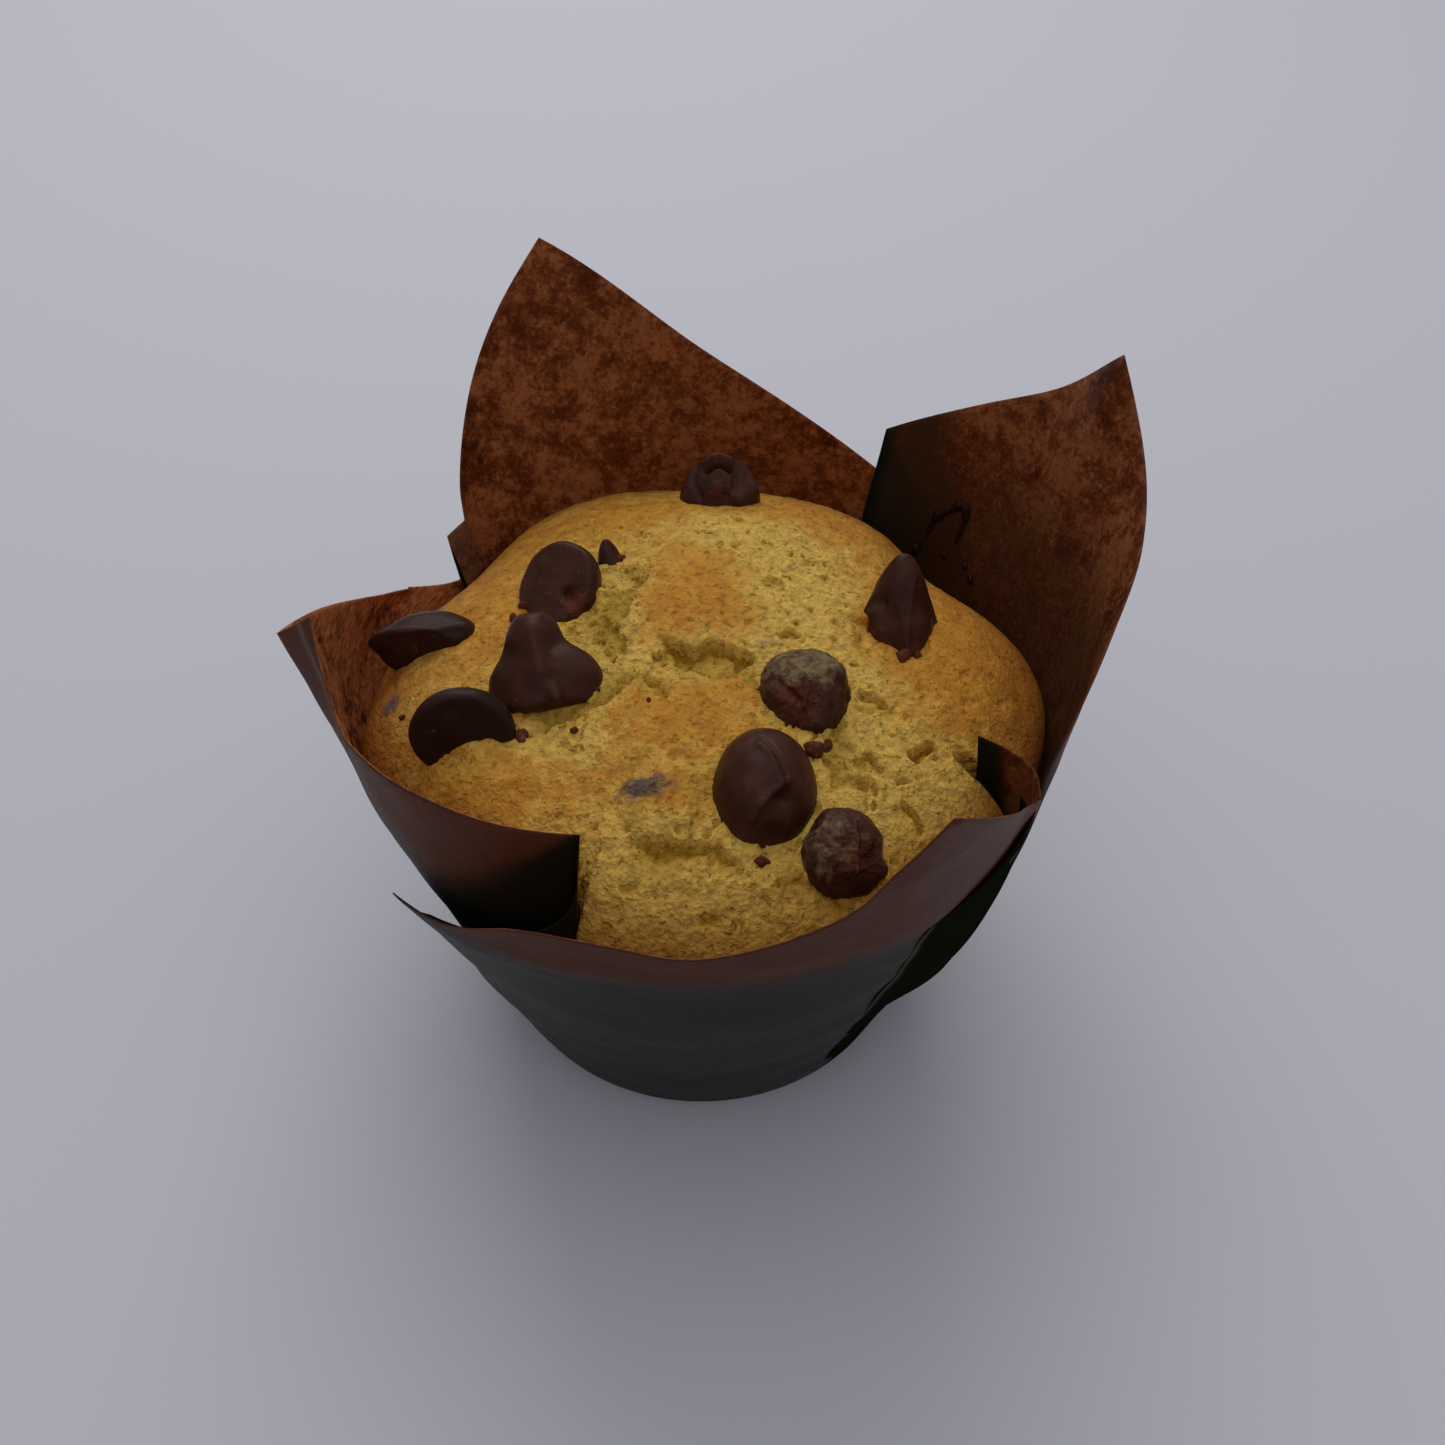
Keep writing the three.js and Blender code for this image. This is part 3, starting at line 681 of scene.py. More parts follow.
@dataclass(frozen=True)
class ChocolateFinish:
    """Dark chocolate with a soft sheen, dusted or filmed with crumb where `film` is 1."""

    name: str
    body: Colour = (0.054, 0.0162, 0.0084)
    lighter: Colour = (0.086, 0.0282, 0.0170)
    filmed: Colour = (0.330, 0.240, 0.110)
    broken: Colour = (0.120, 0.0300, 0.0140)
    # Painted shade: colour for chips that are painted darker.
    darkest: Colour = (0.0230, 0.0100, 0.0050)
    roughness: float = 0.38
    refraction: float = 1.46
    shine: float = 0.16

    def material(self) -> bpy.types.Material:
        """Makes the material.

        It reads `film`, 1 where crumb or flour lies on the chocolate, `broken`, 1 where it is
        broken open, matt and redder, and `dark`, painted shade, 1 where it is painted darkest.
        """
        g = Graph(self.name)
        cloud, grain, dust = g.noise(3.5, 3.0), g.noise(0.5, 3.0), g.noise(1.4, 3.0)
        uneven = grain - 0.5
        broken = (g.value("broken") * 1.4 + uneven * 1.2).step(0.25, 0.9)
        film = (g.value("film") + uneven * 1.1 + (dust - 0.5) * 1.7).step(0.25, 1.1)
        colour = g.mix(cloud.step(0.40, 0.75), self.body, self.lighter)
        # Painted shade: `dark` darkens whole chips.
        colour = g.mix(g.value("dark"), colour, self.darkest)
        colour = g.mix(broken, colour, self.broken)
        g.feed("Base Color", g.mix(film * 0.72, colour, self.filmed))
        g.feed("Roughness", self.roughness + (cloud - 0.5) * 0.15 + film * 0.35 + broken * 0.25)
        g.feed("IOR", self.refraction)
        g.feed("Specular IOR Level", self.shine)
        g.bump(cloud * 0.5 + dust * broken * 1.2 + grain * (0.22 + broken * 2.0), 0.2, 0.45)
        return g.material


MELTED = ChocolateFinish(
    "melted_chocolate",
    body=(0.016, 0.0070, 0.0040),
    lighter=(0.022, 0.0090, 0.0050),
    roughness=0.26,
)


# ---------------------------------------------------------------- the paper case

# A row is a point of a top edge: azimuth, radius, height, azimuth at the foot, how far the wall is
# pushed out at the shoulder, and belly. Going along a panel the azimuth falls.
Row = tuple[float, float, float, float, float, float]


@dataclass(frozen=True)
class PaperForm:
    """The cone that the sheet is pressed to, and how it stands free above the shoulder.

    Attributes:
        foot_radius: radius of the cone at the height 0.
        slope: how much wider it gets for each millimetre of height.
        shoulder: height where the paper comes free of the cone.
        foot: height of the paper's lowest points.
        belly_gain: how far a belly of 1 would stand out if it did not fade upwards.
        belly_foot: share of the shoulder's height where a belly starts.
    """

    foot_radius: float = 25.6
    slope: float = 0.33
    shoulder: float = 44.0
    foot: float = 0.25
    belly_gain: float = 4.2
    belly_foot: float = 0.48

    def wall(self, height: np.ndarray) -> np.ndarray:
        """Radius of the cone, foot_radius + slope h."""
        return self.foot_radius + self.slope * height

    def point(self, rows: np.ndarray, height: np.ndarray) -> tuple[np.ndarray, np.ndarray]:
        """Azimuth and radius of the paper below points of its top edge.

        Up to the shoulder s the radius is
        wall(h) + push t + belly gain sqrt((t - f) / (1 - f)) (1 - t)
        with the share t = h/s and the foot f of the belly, and above the shoulder a straight line
        to the top edge. The azimuth runs evenly from foot to top.

        Args:
            rows: (..., 6) rows of the top edge.
            height: (...) heights.

        Returns:
            Azimuths and radii.
        """
        azimuth, radius, top, foot, push, belly = np.moveaxis(rows, -1, 0)
        low = np.minimum(height, self.shoulder)
        share = low / self.shoulder
        up = np.clip((share - self.belly_foot) / (1.0 - self.belly_foot), 0.0, 1.0)
        r = self.wall(low) + push * share + belly * self.belly_gain * np.sqrt(up) * (1.0 - share)
        over = np.maximum(top - self.shoulder, 1e-6)
        above = np.clip((height - self.shoulder) / over, 0.0, 1.0)
        r = r + (radius - r) * above
        return foot + (azimuth - foot) * height / top, r


FORM = PaperForm()


def smooth_rows(rows: np.ndarray, steps: int) -> np.ndarray:
    """A smooth curve through rows of numbers, by cubic pieces with the slope (next - last) / 2.

    Args:
        rows: (n, m) rows.
        steps: pieces between two rows.

    Returns:
        ((n - 1) steps + 1, m) rows.
    """
    slope = np.gradient(rows, axis=0)
    t = np.linspace(0.0, 1.0, steps, endpoint=False)[None, :, None]
    there = 3.0 * t**2 - 2.0 * t**3
    leave, arrive = t**3 - 2.0 * t**2 + t, t**3 - t**2
    start, end = rows[:-1, None], rows[1:, None]
    curve = start + (end - start) * there
    curve = curve + leave * slope[:-1, None] + arrive * slope[1:, None]
    return np.concatenate([curve.reshape(-1, rows.shape[1]), rows[-1:]])


@dataclass(frozen=True)
class PaperLayer:
    """One panel of the case, or the hidden layer of a fold.

    Attributes:
        stretches: its top edge, in stretches that meet at corners.
        shade_start: how far in plan painted shade reaches from its start, where folds lie behind
            it.
        shade_end: and the same from its end.
        shade_slope: how much further the painted shade reaches for each millimetre below the edge.
        shade_amount: how dark the painted shade makes it.
        painted_highlight: creases with a painted highlight, each the number of a stretch and the
            share of it that is passed.
        highlight_width: half width of a painted crease highlight in plan.
        highlight_heights: heights over which a painted crease highlight comes up from nothing.
        stain: how dark its inner face is painted, with grease and painted shade, or less than 0
            where it is painted lighter in place of light through the paper.
        corner_shade_reach: how far in plan the darkest painted shade of a darkened face reaches
            from its start.
        corner_shade_heights: heights between which that darkest part narrows from twice that reach
            to it.
        wrinkle: how much further than the other layers it bulges out in its middle.
        inset: how far it lies inside the layers that it joins.
    """

    stretches: tuple[tuple[Row, ...], ...]
    shade_start: float = 0.0
    shade_end: float = 0.0
    shade_slope: float = 0.0
    shade_amount: float = 1.0
    painted_highlight: tuple[tuple[int, float], ...] = ()
    highlight_width: float = 0.35
    highlight_heights: tuple[float, float] = (38.0, 50.0)
    stain: float = 0.0
    corner_shade_reach: float = 11.0
    corner_shade_heights: tuple[float, float] = (42.0, 56.0)
    wrinkle: float = 0.0
    inset: float = 0.0

    def edge(self, steps: int) -> np.ndarray:
        """Rows of the whole top edge, with the given pieces between two rows."""
        runs = [smooth_rows(np.array(s, float), steps) for s in self.stretches]
        return np.concatenate([runs[0], *[run[1:] for run in runs[1:]]])


def meeting(*runs: tuple[Row, ...]) -> tuple[tuple[Row, ...], ...]:
    """Stretches that meet: each one after the first starts with the last row of the one before."""
    return (runs[0], *[(before[-1], *run) for before, run in zip(runs, runs[1:])])


BACK_LEFT = PaperLayer(
    meeting(
        ((141, 40.5, 47, 147, -0.4, 0), (137, 40.2, 48, 142, 0, 0)),
        (
            (135.5, 41.5, 53, 138, 0, 0),
            (128, 45.5, 62, 130, 0, 0),
            (121.2, 47.4, 69.4, 122, 0, 0),
            (113.5, 48, 77, 113, 0, 0),
        ),
        ((90, 41, 64, 90, 0, 0), (57, 41.6, 50, 60, 1.2, 0), (44, 44.5, 46, 44, 2.6, 1.5)),
    ),
    painted_highlight=((0, 0.4), (0, 0.9)),
    highlight_width=1.3,
)
BACK_RIGHT = PaperLayer(
    meeting(
        (
            (57, 42.3, 56, 61, -1.2, 0),
            (42, 45, 63, 45, 0, 0),
            (32, 48.5, 68, 34, 0, 0),
            (23, 49.5, 76, 23, 0, 0),
        ),
        (
            (14, 49.3, 68, 12, 0, 0),
            (4, 47, 63, 2, 0, 0),
            (-9, 43, 58.5, -10, 0, 0),
            (-25, 40, 51.5, -24, -0.3, 0.4),
            (-35, 40.6, 49.5, -37, -0.1, 1.9),
            (-46, 41.7, 49.8, -48, 0.3, 2.3),
            (-57, 41.1, 46.5, -57, 0.15, 0.3),
        ),
    ),
    shade_start=1.6,
    shade_end=24.0,
    shade_slope=0.05,
    stain=0.40,
    painted_highlight=((1, 1.0),),
    highlight_width=0.45,
    highlight_heights=(14.0, 26.0),
)
FRONT_RIGHT = PaperLayer(
    meeting(
        (
            (-28, 32.3, 53, -30, -6.5, 0),
            (-28.2, 36, 52.6, -31.5, -3.5, 0),
            (-29.2, 38.8, 51.8, -34, -1.4, 0),
            (-31.5, 40.4, 50, -37, -0.3, 0),
        ),
        ((-42, 41.5, 56, -43, 0, 0), (-66, 49.8, 75, -62, 0, 0)),
        (
            (-69, 47, 66.6, -69, 0, 0),
            (-74, 45.2, 59.7, -75, 0, 0),
            (-89, 43.2, 53.7, -89, 0, 0),
            (-101, 42.8, 54.2, -100, 0, 0),
            (-112, 42.6, 53, -110, 0.3, 0),
            (-124, 41.6, 47, -124, 0.8, -0.5),
            (-138, 41, 43, -140, 1.2, -0.5),
        ),
    ),
    shade_start=3.4,
    shade_slope=0.06,
    wrinkle=0.42,
    stain=0.20,
    corner_shade_reach=2.5,
)
LEFT = PaperLayer(
    meeting(
        (
            (-110, 31.5, 54.5, -112, -6, 0),
            (-120, 35.3, 57, -121, -3, 0),
            (-132, 37.3, 57.5, -132, -2.2, 0),
            (-142, 38.4, 57, -142, -2.7, 0),
            (-149, 39.5, 58, -150, -2.7, 0),
        ),
        ((-162.5, 39.1, 66, -156, -1.8, 0),),
        ((-167, 42.8, 62, -160, -1.4, 0),),
        (
            (-178, 40.2, 58, -177, -1.0, 0),
            (-193, 39.3, 51, -193, -0.3, 0),
            (-203, 39.8, 46.3, -204, 0.4, 0),
            (-218, 40.6, 40.4, -216, 1.0, 0.4),
            (-232, 42, 39.5, -232, 2.0, 0.8),
        ),
    ),
    shade_start=0.8,
    shade_slope=1.3,
    shade_amount=0.76,
    painted_highlight=((2, 0.33),),
    stain=-0.90,
)


def turned(row: Row, turn: float) -> Row:
    """A row turned by some degrees about the axis."""
    azimuth, radius, top, foot, push, belly = row
    return azimuth + turn, radius, top, foot + turn, push, belly


def fold(*rows: Row) -> PaperLayer:
    """The hidden layer of a fold, from the end of one panel to the start of the next, painted as
    shade all over.
    """
    return PaperLayer((rows,), shade_start=360.0, inset=0.14)


PANELS = (BACK_LEFT, BACK_RIGHT, FRONT_RIGHT, LEFT)
FOLDS = (
    fold(
        LEFT.stretches[-1][-1],
        (-224, 41.2, 43, -222, 0.9, 0.2),
        turned(BACK_LEFT.stretches[0][0], -360),
    ),
    fold(
        BACK_LEFT.stretches[-1][-1],
        (51, 42.4, 51, 53, 0.4, 0.3),
        BACK_RIGHT.stretches[0][0],
    ),
    fold(
        BACK_RIGHT.stretches[-1][-1],
        (-46, 41, 48, -47, 0.1, 0.6),
        (-33, 40, 46.8, -36, -0.4, 0.5),
        (-27.4, 36, 49, -30.5, -3.4, 0),
        FRONT_RIGHT.stretches[0][0],
    ),
    fold(
        FRONT_RIGHT.stretches[-1][-1],
        (-118, 39.4, 46, -118, -0.5, 0),
        (-109, 36.2, 49, -110, -3, 0),
        LEFT.stretches[0][0],
    ),
)


@dataclass
class PaperCase:
    """The tulip case: four panels, the hidden layers of its folds, and the flat bottom.

    Attributes:
        thickness: thickness of the paper.
        rows: points of a layer from its foot to its top edge.
        wall_share: share of them on the wall below the bend.
        low_bend: where a layer that ends low bends, as a share of its height.
        steps: pieces between two rows of a top edge.
        rounds: how often the bend is eased.
        swell: how far the paper is pushed out or in where it is uneven.
        swell_size: width of its uneven spots.
        swell_octaves: how many finer sizes the spots have.
        swell_stretch: how many times closer the spots lie upwards.
        still: distances from the foot and from the top edge where the swell is full.
        wrinkled_start: distances from a layer's start over which its wrinkle grows.
        wrinkled_end: and the same from its end.
        free_heights: heights over which the paper comes free of the crumb.
        shade_fade: shares of their reach between which the painted shade of the folds behind stops.
        corner_shade_fade: shares of its reach between which the darkest painted shade at a panel's
            start ends.
        tone_least: how much of its painted darkening or lightening a face has at its top.
        tone_more: how much more it has near the crumb.
        tone_above: how far above the two corner_shade_heights that ends.
        bottom_edge: radii and heights of the profile round the edge of the bottom.
        around: points round the bottom.
        seed: seed of the noise.
    """

    thickness: float = 0.16
    rows: int = 56
    wall_share: float = 0.62
    low_bend: float = 0.9
    steps: int = 16
    rounds: int = 6
    swell: float = 0.48
    swell_size: float = 26.0
    swell_octaves: int = 3
    swell_stretch: float = 2.6
    still: tuple[float, float] = (8.0, 6.0)
    wrinkled_start: tuple[float, float] = (20.0, 34.0)
    wrinkled_end: tuple[float, float] = (12.0, 22.0)
    free_heights: tuple[float, float] = (43.0, 50.0)
    shade_fade: tuple[float, float] = (0.55, 1.15)
    corner_shade_fade: tuple[float, float] = (0.15, 1.10)
    tone_least: float = 0.6
    tone_more: float = 1.3
    tone_above: tuple[float, float] = (6.0, 8.0)
    bottom_edge: tuple[tuple[float, float], ...] = (
        (24.0, 0.0),
        (25.2, 0.04),
        (25.75, 0.3),
        (25.5, 0.35),
        (24.9, 0.2),
    )
    around: int = 144
    seed: int = 11

    def __post_init__(self) -> None:
        """Draws the noise for the wrinkles and samples the top edges once."""
        self.noise = GradientNoise(self.seed)
        self.layers = PANELS + FOLDS
        self.edges = [layer.edge(self.steps) for layer in self.layers]

    def innermost(self, azimuth: np.ndarray, height: float) -> np.ndarray:
        """Radius of the innermost paper at azimuths and one height.

        Args:
            azimuth: azimuths in degrees.
            height: the height.

        Returns:
            The smallest radius of all layers that reach that high there, and of the cone.
        """
        inner = np.full(azimuth.shape, FORM.wall(min(height, FORM.shoulder)))
        for edge in self.edges:
            reach = edge[edge[:, 2] >= height]
            if len(reach) < 2:
                continue
            where, radius = FORM.point(reach, np.full(len(reach), height))
            order = np.argsort(where)
            for turn in (-360.0, 0.0, 360.0):
                at = azimuth + turn
                found = np.interp(at, where[order], radius[order], left=np.inf, right=np.inf)
                inner = np.minimum(inner, found)
        return inner

    def sheet(
        self,
        layer: PaperLayer,
        edge: np.ndarray,
    ) -> tuple[np.ndarray, dict[str, np.ndarray]]:
        """The middle surface of a layer as a grid of columns and rows, with its values.

        Args:
            layer: the layer.
            edge: rows of its top edge.

        Returns:
            (columns, rows, 3) points and the named values at them.
        """
        share = np.linspace(0.0, 1.0, self.rows)[None, :]
        top = edge[:, 2:3]
        bend = np.minimum(FORM.shoulder, top * self.low_bend)
        lower = FORM.foot + (bend - FORM.foot) * share / self.wall_share
        upper = bend + (top - bend) * (share - self.wall_share) / (1.0 - self.wall_share)
        height = np.where(share < self.wall_share, lower, upper)
        azimuth, radius = FORM.point(np.repeat(edge[:, None], self.rows, axis=1), height)
        points = polar(azimuth, radius, height)
        eased(points.swapaxes(0, 1), self.rounds)
        steps = np.diff(polar(edge[:, 0], edge[:, 1], 0.0), axis=0)
        passed = np.concatenate([[0.0], np.cumsum(np.linalg.norm(steps, axis=1))])[:, None]
        stretched = points * np.array([1.0, 1.0, self.swell_stretch])
        swell = -self.noise.fractal(stretched, self.swell_size, self.swell_octaves)
        inner = smoothstep(*self.wrinkled_start, passed)
        inner = inner * smoothstep(*self.wrinkled_end, passed[-1] - passed)
        low, high = self.still
        fade = smoothstep(0.0, low, height) * smoothstep(0.0, high, top - height)
        swell = self.swell * swell + layer.wrinkle * inner * np.maximum(swell, 0.0)
        outward = points * np.array([1.0, 1.0, 0.0]) / np.hypot(points[..., :1], points[..., 1:2])
        points += outward * ((swell - layer.inset) * fade)[..., None]
        return points, self.marks(layer, passed, top, height)

    def marks(
        self,
        layer: PaperLayer,
        passed: np.ndarray,
        top: np.ndarray,
        height: np.ndarray,
    ) -> dict[str, np.ndarray]:
        """The values of a layer that the finish reads, apart from `inside`.

        Args:
            layer: the layer.
            passed: (columns, 1) distances in plan along its top edge.
            top: (columns, 1) heights of the top edge.
            height: (columns, rows) heights of its points.

        Returns:
            The named values.
        """
        # Painted shade: darker where folds lie behind the paper, reaching further lower down.
        layered, crease = np.zeros(height.shape), np.zeros(height.shape)
        depth = layer.shade_slope * (top - height)
        sides = ((layer.shade_start, passed), (layer.shade_end, passed[-1] - passed))
        for reach, along in sides:
            if reach:
                covered = 1.0 - smoothstep(*self.shade_fade, along / (reach + depth))
                layered = np.maximum(layered, covered * layer.shade_amount)
        # Painted highlight along creases.
        ends = np.cumsum([0] + [self.steps * (len(run) - 1) for run in layer.stretches])
        for number, share in layer.painted_highlight:
            at = np.interp(share, (0.0, 1.0), passed[ends[number : number + 2], 0])
            crease = np.maximum(crease, bell(passed - at, layer.highlight_width))
        # Painted darkening with grease and shade, strongest near the crumb and at a panel's start;
        # below 0, painted light in place of light through the paper.
        low, high = layer.corner_shade_heights
        reach = layer.corner_shade_reach * (1.0 + np.maximum(0.0, high - height) / (high - low))
        corner = 1.0 - smoothstep(*self.corner_shade_fade, passed / reach)
        start, end = low + self.tone_above[0], high + self.tone_above[1]
        near = self.tone_least + self.tone_more * (1.0 - smoothstep(start, end, height))
        return {
            "layered": layered,
            "free": smoothstep(*self.free_heights, height),
            "stain": layer.stain * near + corner * (layer.stain > 0.0),
            "crease": crease * smoothstep(*layer.highlight_heights, height),
        }

    def shell(self, points: np.ndarray, values: dict[str, np.ndarray]) -> Surface:
        """A closed thin sheet round a middle surface, half the thickness to each side.

        Args:
            points: (columns, rows, 3) points.
            values: named values at them.

        Returns:
            The surface, with `inside` 1 on its inner face.
        """
        normals = (grid_normals(points) * self.thickness / 2.0).reshape(-1, 3)
        columns, rows = points.shape[:2]
        inner = np.arange(columns * rows).reshape(columns, rows)
        outer = inner + columns * rows
        rims = [
            np.stack([inner[:, -1], outer[:, -1]]),
            np.stack([outer[:, 0], inner[:, 0]]),
            np.stack([outer[0], inner[0]])[:, ::-1],
            np.stack([inner[-1], outer[-1]])[:, ::-1],
        ]
        faces = [grid_faces(grid) for grid in (inner, outer.T, *[rim.T for rim in rims])]
        middle = points.reshape(-1, 3)
        both = np.concatenate([middle + normals, middle - normals])
        doubled = {key: np.tile(value.ravel(), 2) for key, value in values.items()}
        doubled["inside"] = np.repeat([1.0, 0.0], columns * rows)
        return Surface(both, faces, doubled)

    def bottom(self) -> Surface:
        """The flat bottom: a thin disc with a soft edge, as a profile turned about the axis."""
        line = np.array(self.bottom_edge)
        turn = np.linspace(0.0, 360.0, self.around, endpoint=False)[:, None]
        ring = polar(turn, line[None, :, 0], line[None, :, 1])
        middles = [(0.0, 0.0, 0.0), (0.0, 0.0, self.thickness)]
        points = np.concatenate([ring.reshape(-1, 3), middles])
        names = ("layered", "free", "stain", "crease", "inside")
        values = {name: np.zeros(len(points)) for name in names}
        return Surface(points, tube_faces(self.around, len(line)), values)

    def radius_at(self, layer: PaperLayer, azimuth: np.ndarray, height: np.ndarray) -> np.ndarray:
        """Radius of a panel, the mean of its points weighed by exp(-d^2) of their distance.

        Args:
            layer: the panel.
            azimuth: azimuths in degrees.
            height: heights.

        Returns:
            The radii.
        """
        points = self.sheet(layer, layer.edge(self.steps))[0].reshape(-1, 3)
        radius = np.hypot(points[:, 0], points[:, 1])
        around = np.degrees(np.arctan2(points[:, 1], points[:, 0])) - azimuth[:, None]
        around = (around + 180.0) % 360.0 - 180.0
        away = (np.radians(around) * radius) ** 2 + (points[:, 2] - height[:, None]) ** 2
        weight = np.exp(-away)
        return (weight @ radius) / weight.sum(axis=1)

    def build(self, finish: PaperFinish) -> bpy.types.Object:
        """Makes the case as one piece."""
        parts = [self.shell(*self.sheet(*pair)) for pair in zip(self.layers, self.edges)]
        piece = joined([*parts, self.bottom()]).build("tulip_case", finish.material())
        place(piece, "paper", "case")
        return piece


# ---------------------------------------------------------------- the crumb


@dataclass(frozen=True)
class Plate:
    """A piece of crust that stands a little proud, as in the solid, or a dent."""

    at: tuple[float, float]
    radius: float
    height: float


@dataclass(frozen=True)
class Tear:
    """A torn edge of the crust, high to the right of its path and low to the left.

    Attributes:
        path: the edge in plan.
        depth: how far the crumb drops at the edge.
        width: how far from the edge it rises again.
        pale: 1 where broken crumb shows, 0 where the drop is a hole painted dark as shade.
    """

    path: tuple[tuple[float, float], ...]
    depth: float
    width: float
    pale: float = 0.5


@dataclass(frozen=True)
class Zone:
    """An oval patch of colour on the crown: middle, two half widths and strength."""

    at: tuple[float, float]
    half: tuple[float, float]
    strength: float


@dataclass(frozen=True)
class Crown:
    """What the crown of the crumb is made of.

    Attributes:
        plates: plates of crust, and dents where the height is negative.
        tears: torn edges.
        golden: patches of golden skin.
        pale: patches of paler broken crumb.
        cocoa: patches over hidden chocolate.
    """

    plates: tuple[Plate, ...] = (
        Plate((-1, 7), 10, 0.5),
        Plate((-2, -15.5), 8.5, 0.6),
        Plate((26, -4), 9, 0.6),
        Plate((-24, -18.6), 5.5, 1.2),
        Plate((3, 22), 12, 0.5),
        Plate((-3.6, -24.0), 4.4, 1.0),
        Plate((-15.5, 3.2), 4.6, -1.6),
        Plate((20.6, -1.2), 4.6, -1.3),
        Plate((-14.6, -14.4), 4.0, -0.6),
        Plate((-9.0, 8.2), 2.6, -0.6),
    )
    tears: tuple[Tear, ...] = (
        Tear(
            (
                ((6.8, -6.5), (5.2, -4.6), (4, -4.2), (2.4, -3.2))
                + ((0.2, -3.9), (-1.8, -3.5), (-3.2, -2.4), (-4.6, -2.3))
            ),
            2.1,
            4.2,
            0.55,
        ),
        Tear(
            (
                ((-4.4, -3.2), (-2.4, -4.6), (-1.2, -6.6), (1, -8.2))
                + ((3.6, -8.3), (5.6, -9.4), (6.4, -11))
            ),
            1.0,
            2.4,
            0.8,
        ),
        Tear(
            (
                ((-5.5, -5.5), (-7, -3), (-8.8, 0), (-7.6, 3.5))
                + ((-6, 6), (-5.6, 7.6), (-8.5, 8.2))
            ),
            1.2,
            3.6,
            1.0,
        ),
        Tear(
            ((-17, -14.8), (-14, -13.4), (-11, -12.3), (-8.2, -11), (-6.6, -8.6), (-5.8, -6.6)),
            1.1,
            2.6,
            0.9,
        ),
        Tear(((-1.8, -9.8), (-3.2, -9.3), (-4.2, -8.4), (-5.4, -8.2)), 1.3, 1.5, 0.3),
        Tear(
            ((5.4, -30), (3.5, -29.2), (1.5, -28.3), (-0.8, -27.6), (-3.5, -28), (-6.8, -27.4)),
            1.7,
            1.3,
            0.15,
        ),
        Tear(((15.5, -33), (13, -31.8), (10.5, -31), (7.4, -30.4)), 1.2, 1.0, 0.2),
        Tear(((24.6, -15.6), (23.4, -14.9), (22.2, -15.2), (21.2, -16)), 2.2, 0.9, 0.1),
        Tear(((29.8, -17), (29, -15), (27.6, -14.4), (26.2, -15)), 1.0, 1.1, 0.4),
        Tear(((19.6, -10.4), (18.6, -9.6), (17.4, -9.2), (16.4, -9.8)), 1.3, 0.9, 0.2),
        Tear(((23, -24), (21.6, -23), (20.2, -22.2)), 1.4, 0.9, 0.2),
        Tear(((-6.0, 7.0), (-6.9, 8.0), (-7.4, 9.2)), 1.3, 0.9, 0.5),
        Tear(((-9.4, -3.6), (-10.4, -2.2), (-9.8, 0.2), (-9.0, 2.6)), 1.4, 0.9, 0.45),
        Tear(((-12.4, -0.6), (-13.4, 0.6), (-12.8, 2.0)), 1.0, 0.8, 0.4),
        Tear(((-7.6, -5.2), (-8.8, -4.2), (-9.8, -4.4)), 1.0, 0.7, 0.4),
        Tear(((11, -2), (9.8, -1.3), (8.6, -1.6), (7.8, -2.6)), 1.5, 0.9, 0.2),
        Tear(((12.6, -13), (13.4, -16), (13, -19), (14, -22.5)), 0.8, 2.4, 0.9),
        Tear(((19.4, -18.6), (17.6, -17), (15.6, -17.6)), 0.9, 1.5, 0.7),
        Tear(((18.4, -21.2), (16.6, -19.8), (15, -20.6)), 0.9, 1.5, 0.7),
        Tear(((6.2, 19.6), (4.8, 20.4), (3.4, 20)), 0.8, 1.0, 0.3),
        Tear(((-5.6, 16.2), (-6.6, 17), (-7.8, 17.2)), 0.6, 0.9, 0.4),
        Tear(((9.8, 6.6), (8.6, 7), (7.6, 6.6)), 0.7, 0.8, 0.4),
        Tear(((13.4, 11.6), (12, 12), (10.8, 11.5)), 0.6, 0.8, 0.4),
        Tear(((-12, -16.8), (-13.4, -16.2), (-15, -16.8)), 0.7, 0.8, 0.4),
        Tear(((2.5, -12.6), (1.0, -12.2), (-0.4, -12.8)), 0.5, 0.7, 0.3),
        Tear(((-4.5, -31.5), (-5.6, -31), (-7, -31.4)), 0.7, 0.8, 0.3),
    )
    golden: tuple[Zone, ...] = (
        Zone((0, 4), (6.5, 8), 0.9),
        Zone((-3, -14.5), (9, 4.5), 0.9),
        Zone((3.5, -9.9), (3.2, 2.0), 0.7),
        Zone((28, 0), (10, 13), 0.9),
        Zone((-20, -21), (9, 4), 0.6),
        Zone((-9, 22), (11, 6), 0.6),
        Zone((14, 23), (9, 6), 0.7),
        Zone((-24, 8), (6, 13), 0.7),
        Zone((-1, -23), (5, 2), 0.5),
    )
    pale: tuple[Zone, ...] = (
        Zone((11, 6), (5.5, 9), 1.0),
        Zone((3, 17.5), (7, 4), 0.8),
        Zone((-10, -1), (3.5, 11), 0.9),
        Zone((0, -5.5), (6, 2.2), 0.8),
        Zone((19, -19), (9, 5.5), 0.9),
        Zone((15, -8), (8, 5), 0.4),
        Zone((0, -31), (14, 5), 0.7),
        Zone((-13, -16), (6, 2.2), 0.8),
    )
    cocoa: tuple[Zone, ...] = (
        Zone((-5, -22.5), (3.4, 1.5), 0.75),
        Zone((-33, -5), (1.2, 1.8), 0.8),
        Zone((7.5, -3.6), (2.2, 1.2), 0.35),
        Zone((18.3, -24.5), (1.2, 2.2), 0.4),
    )


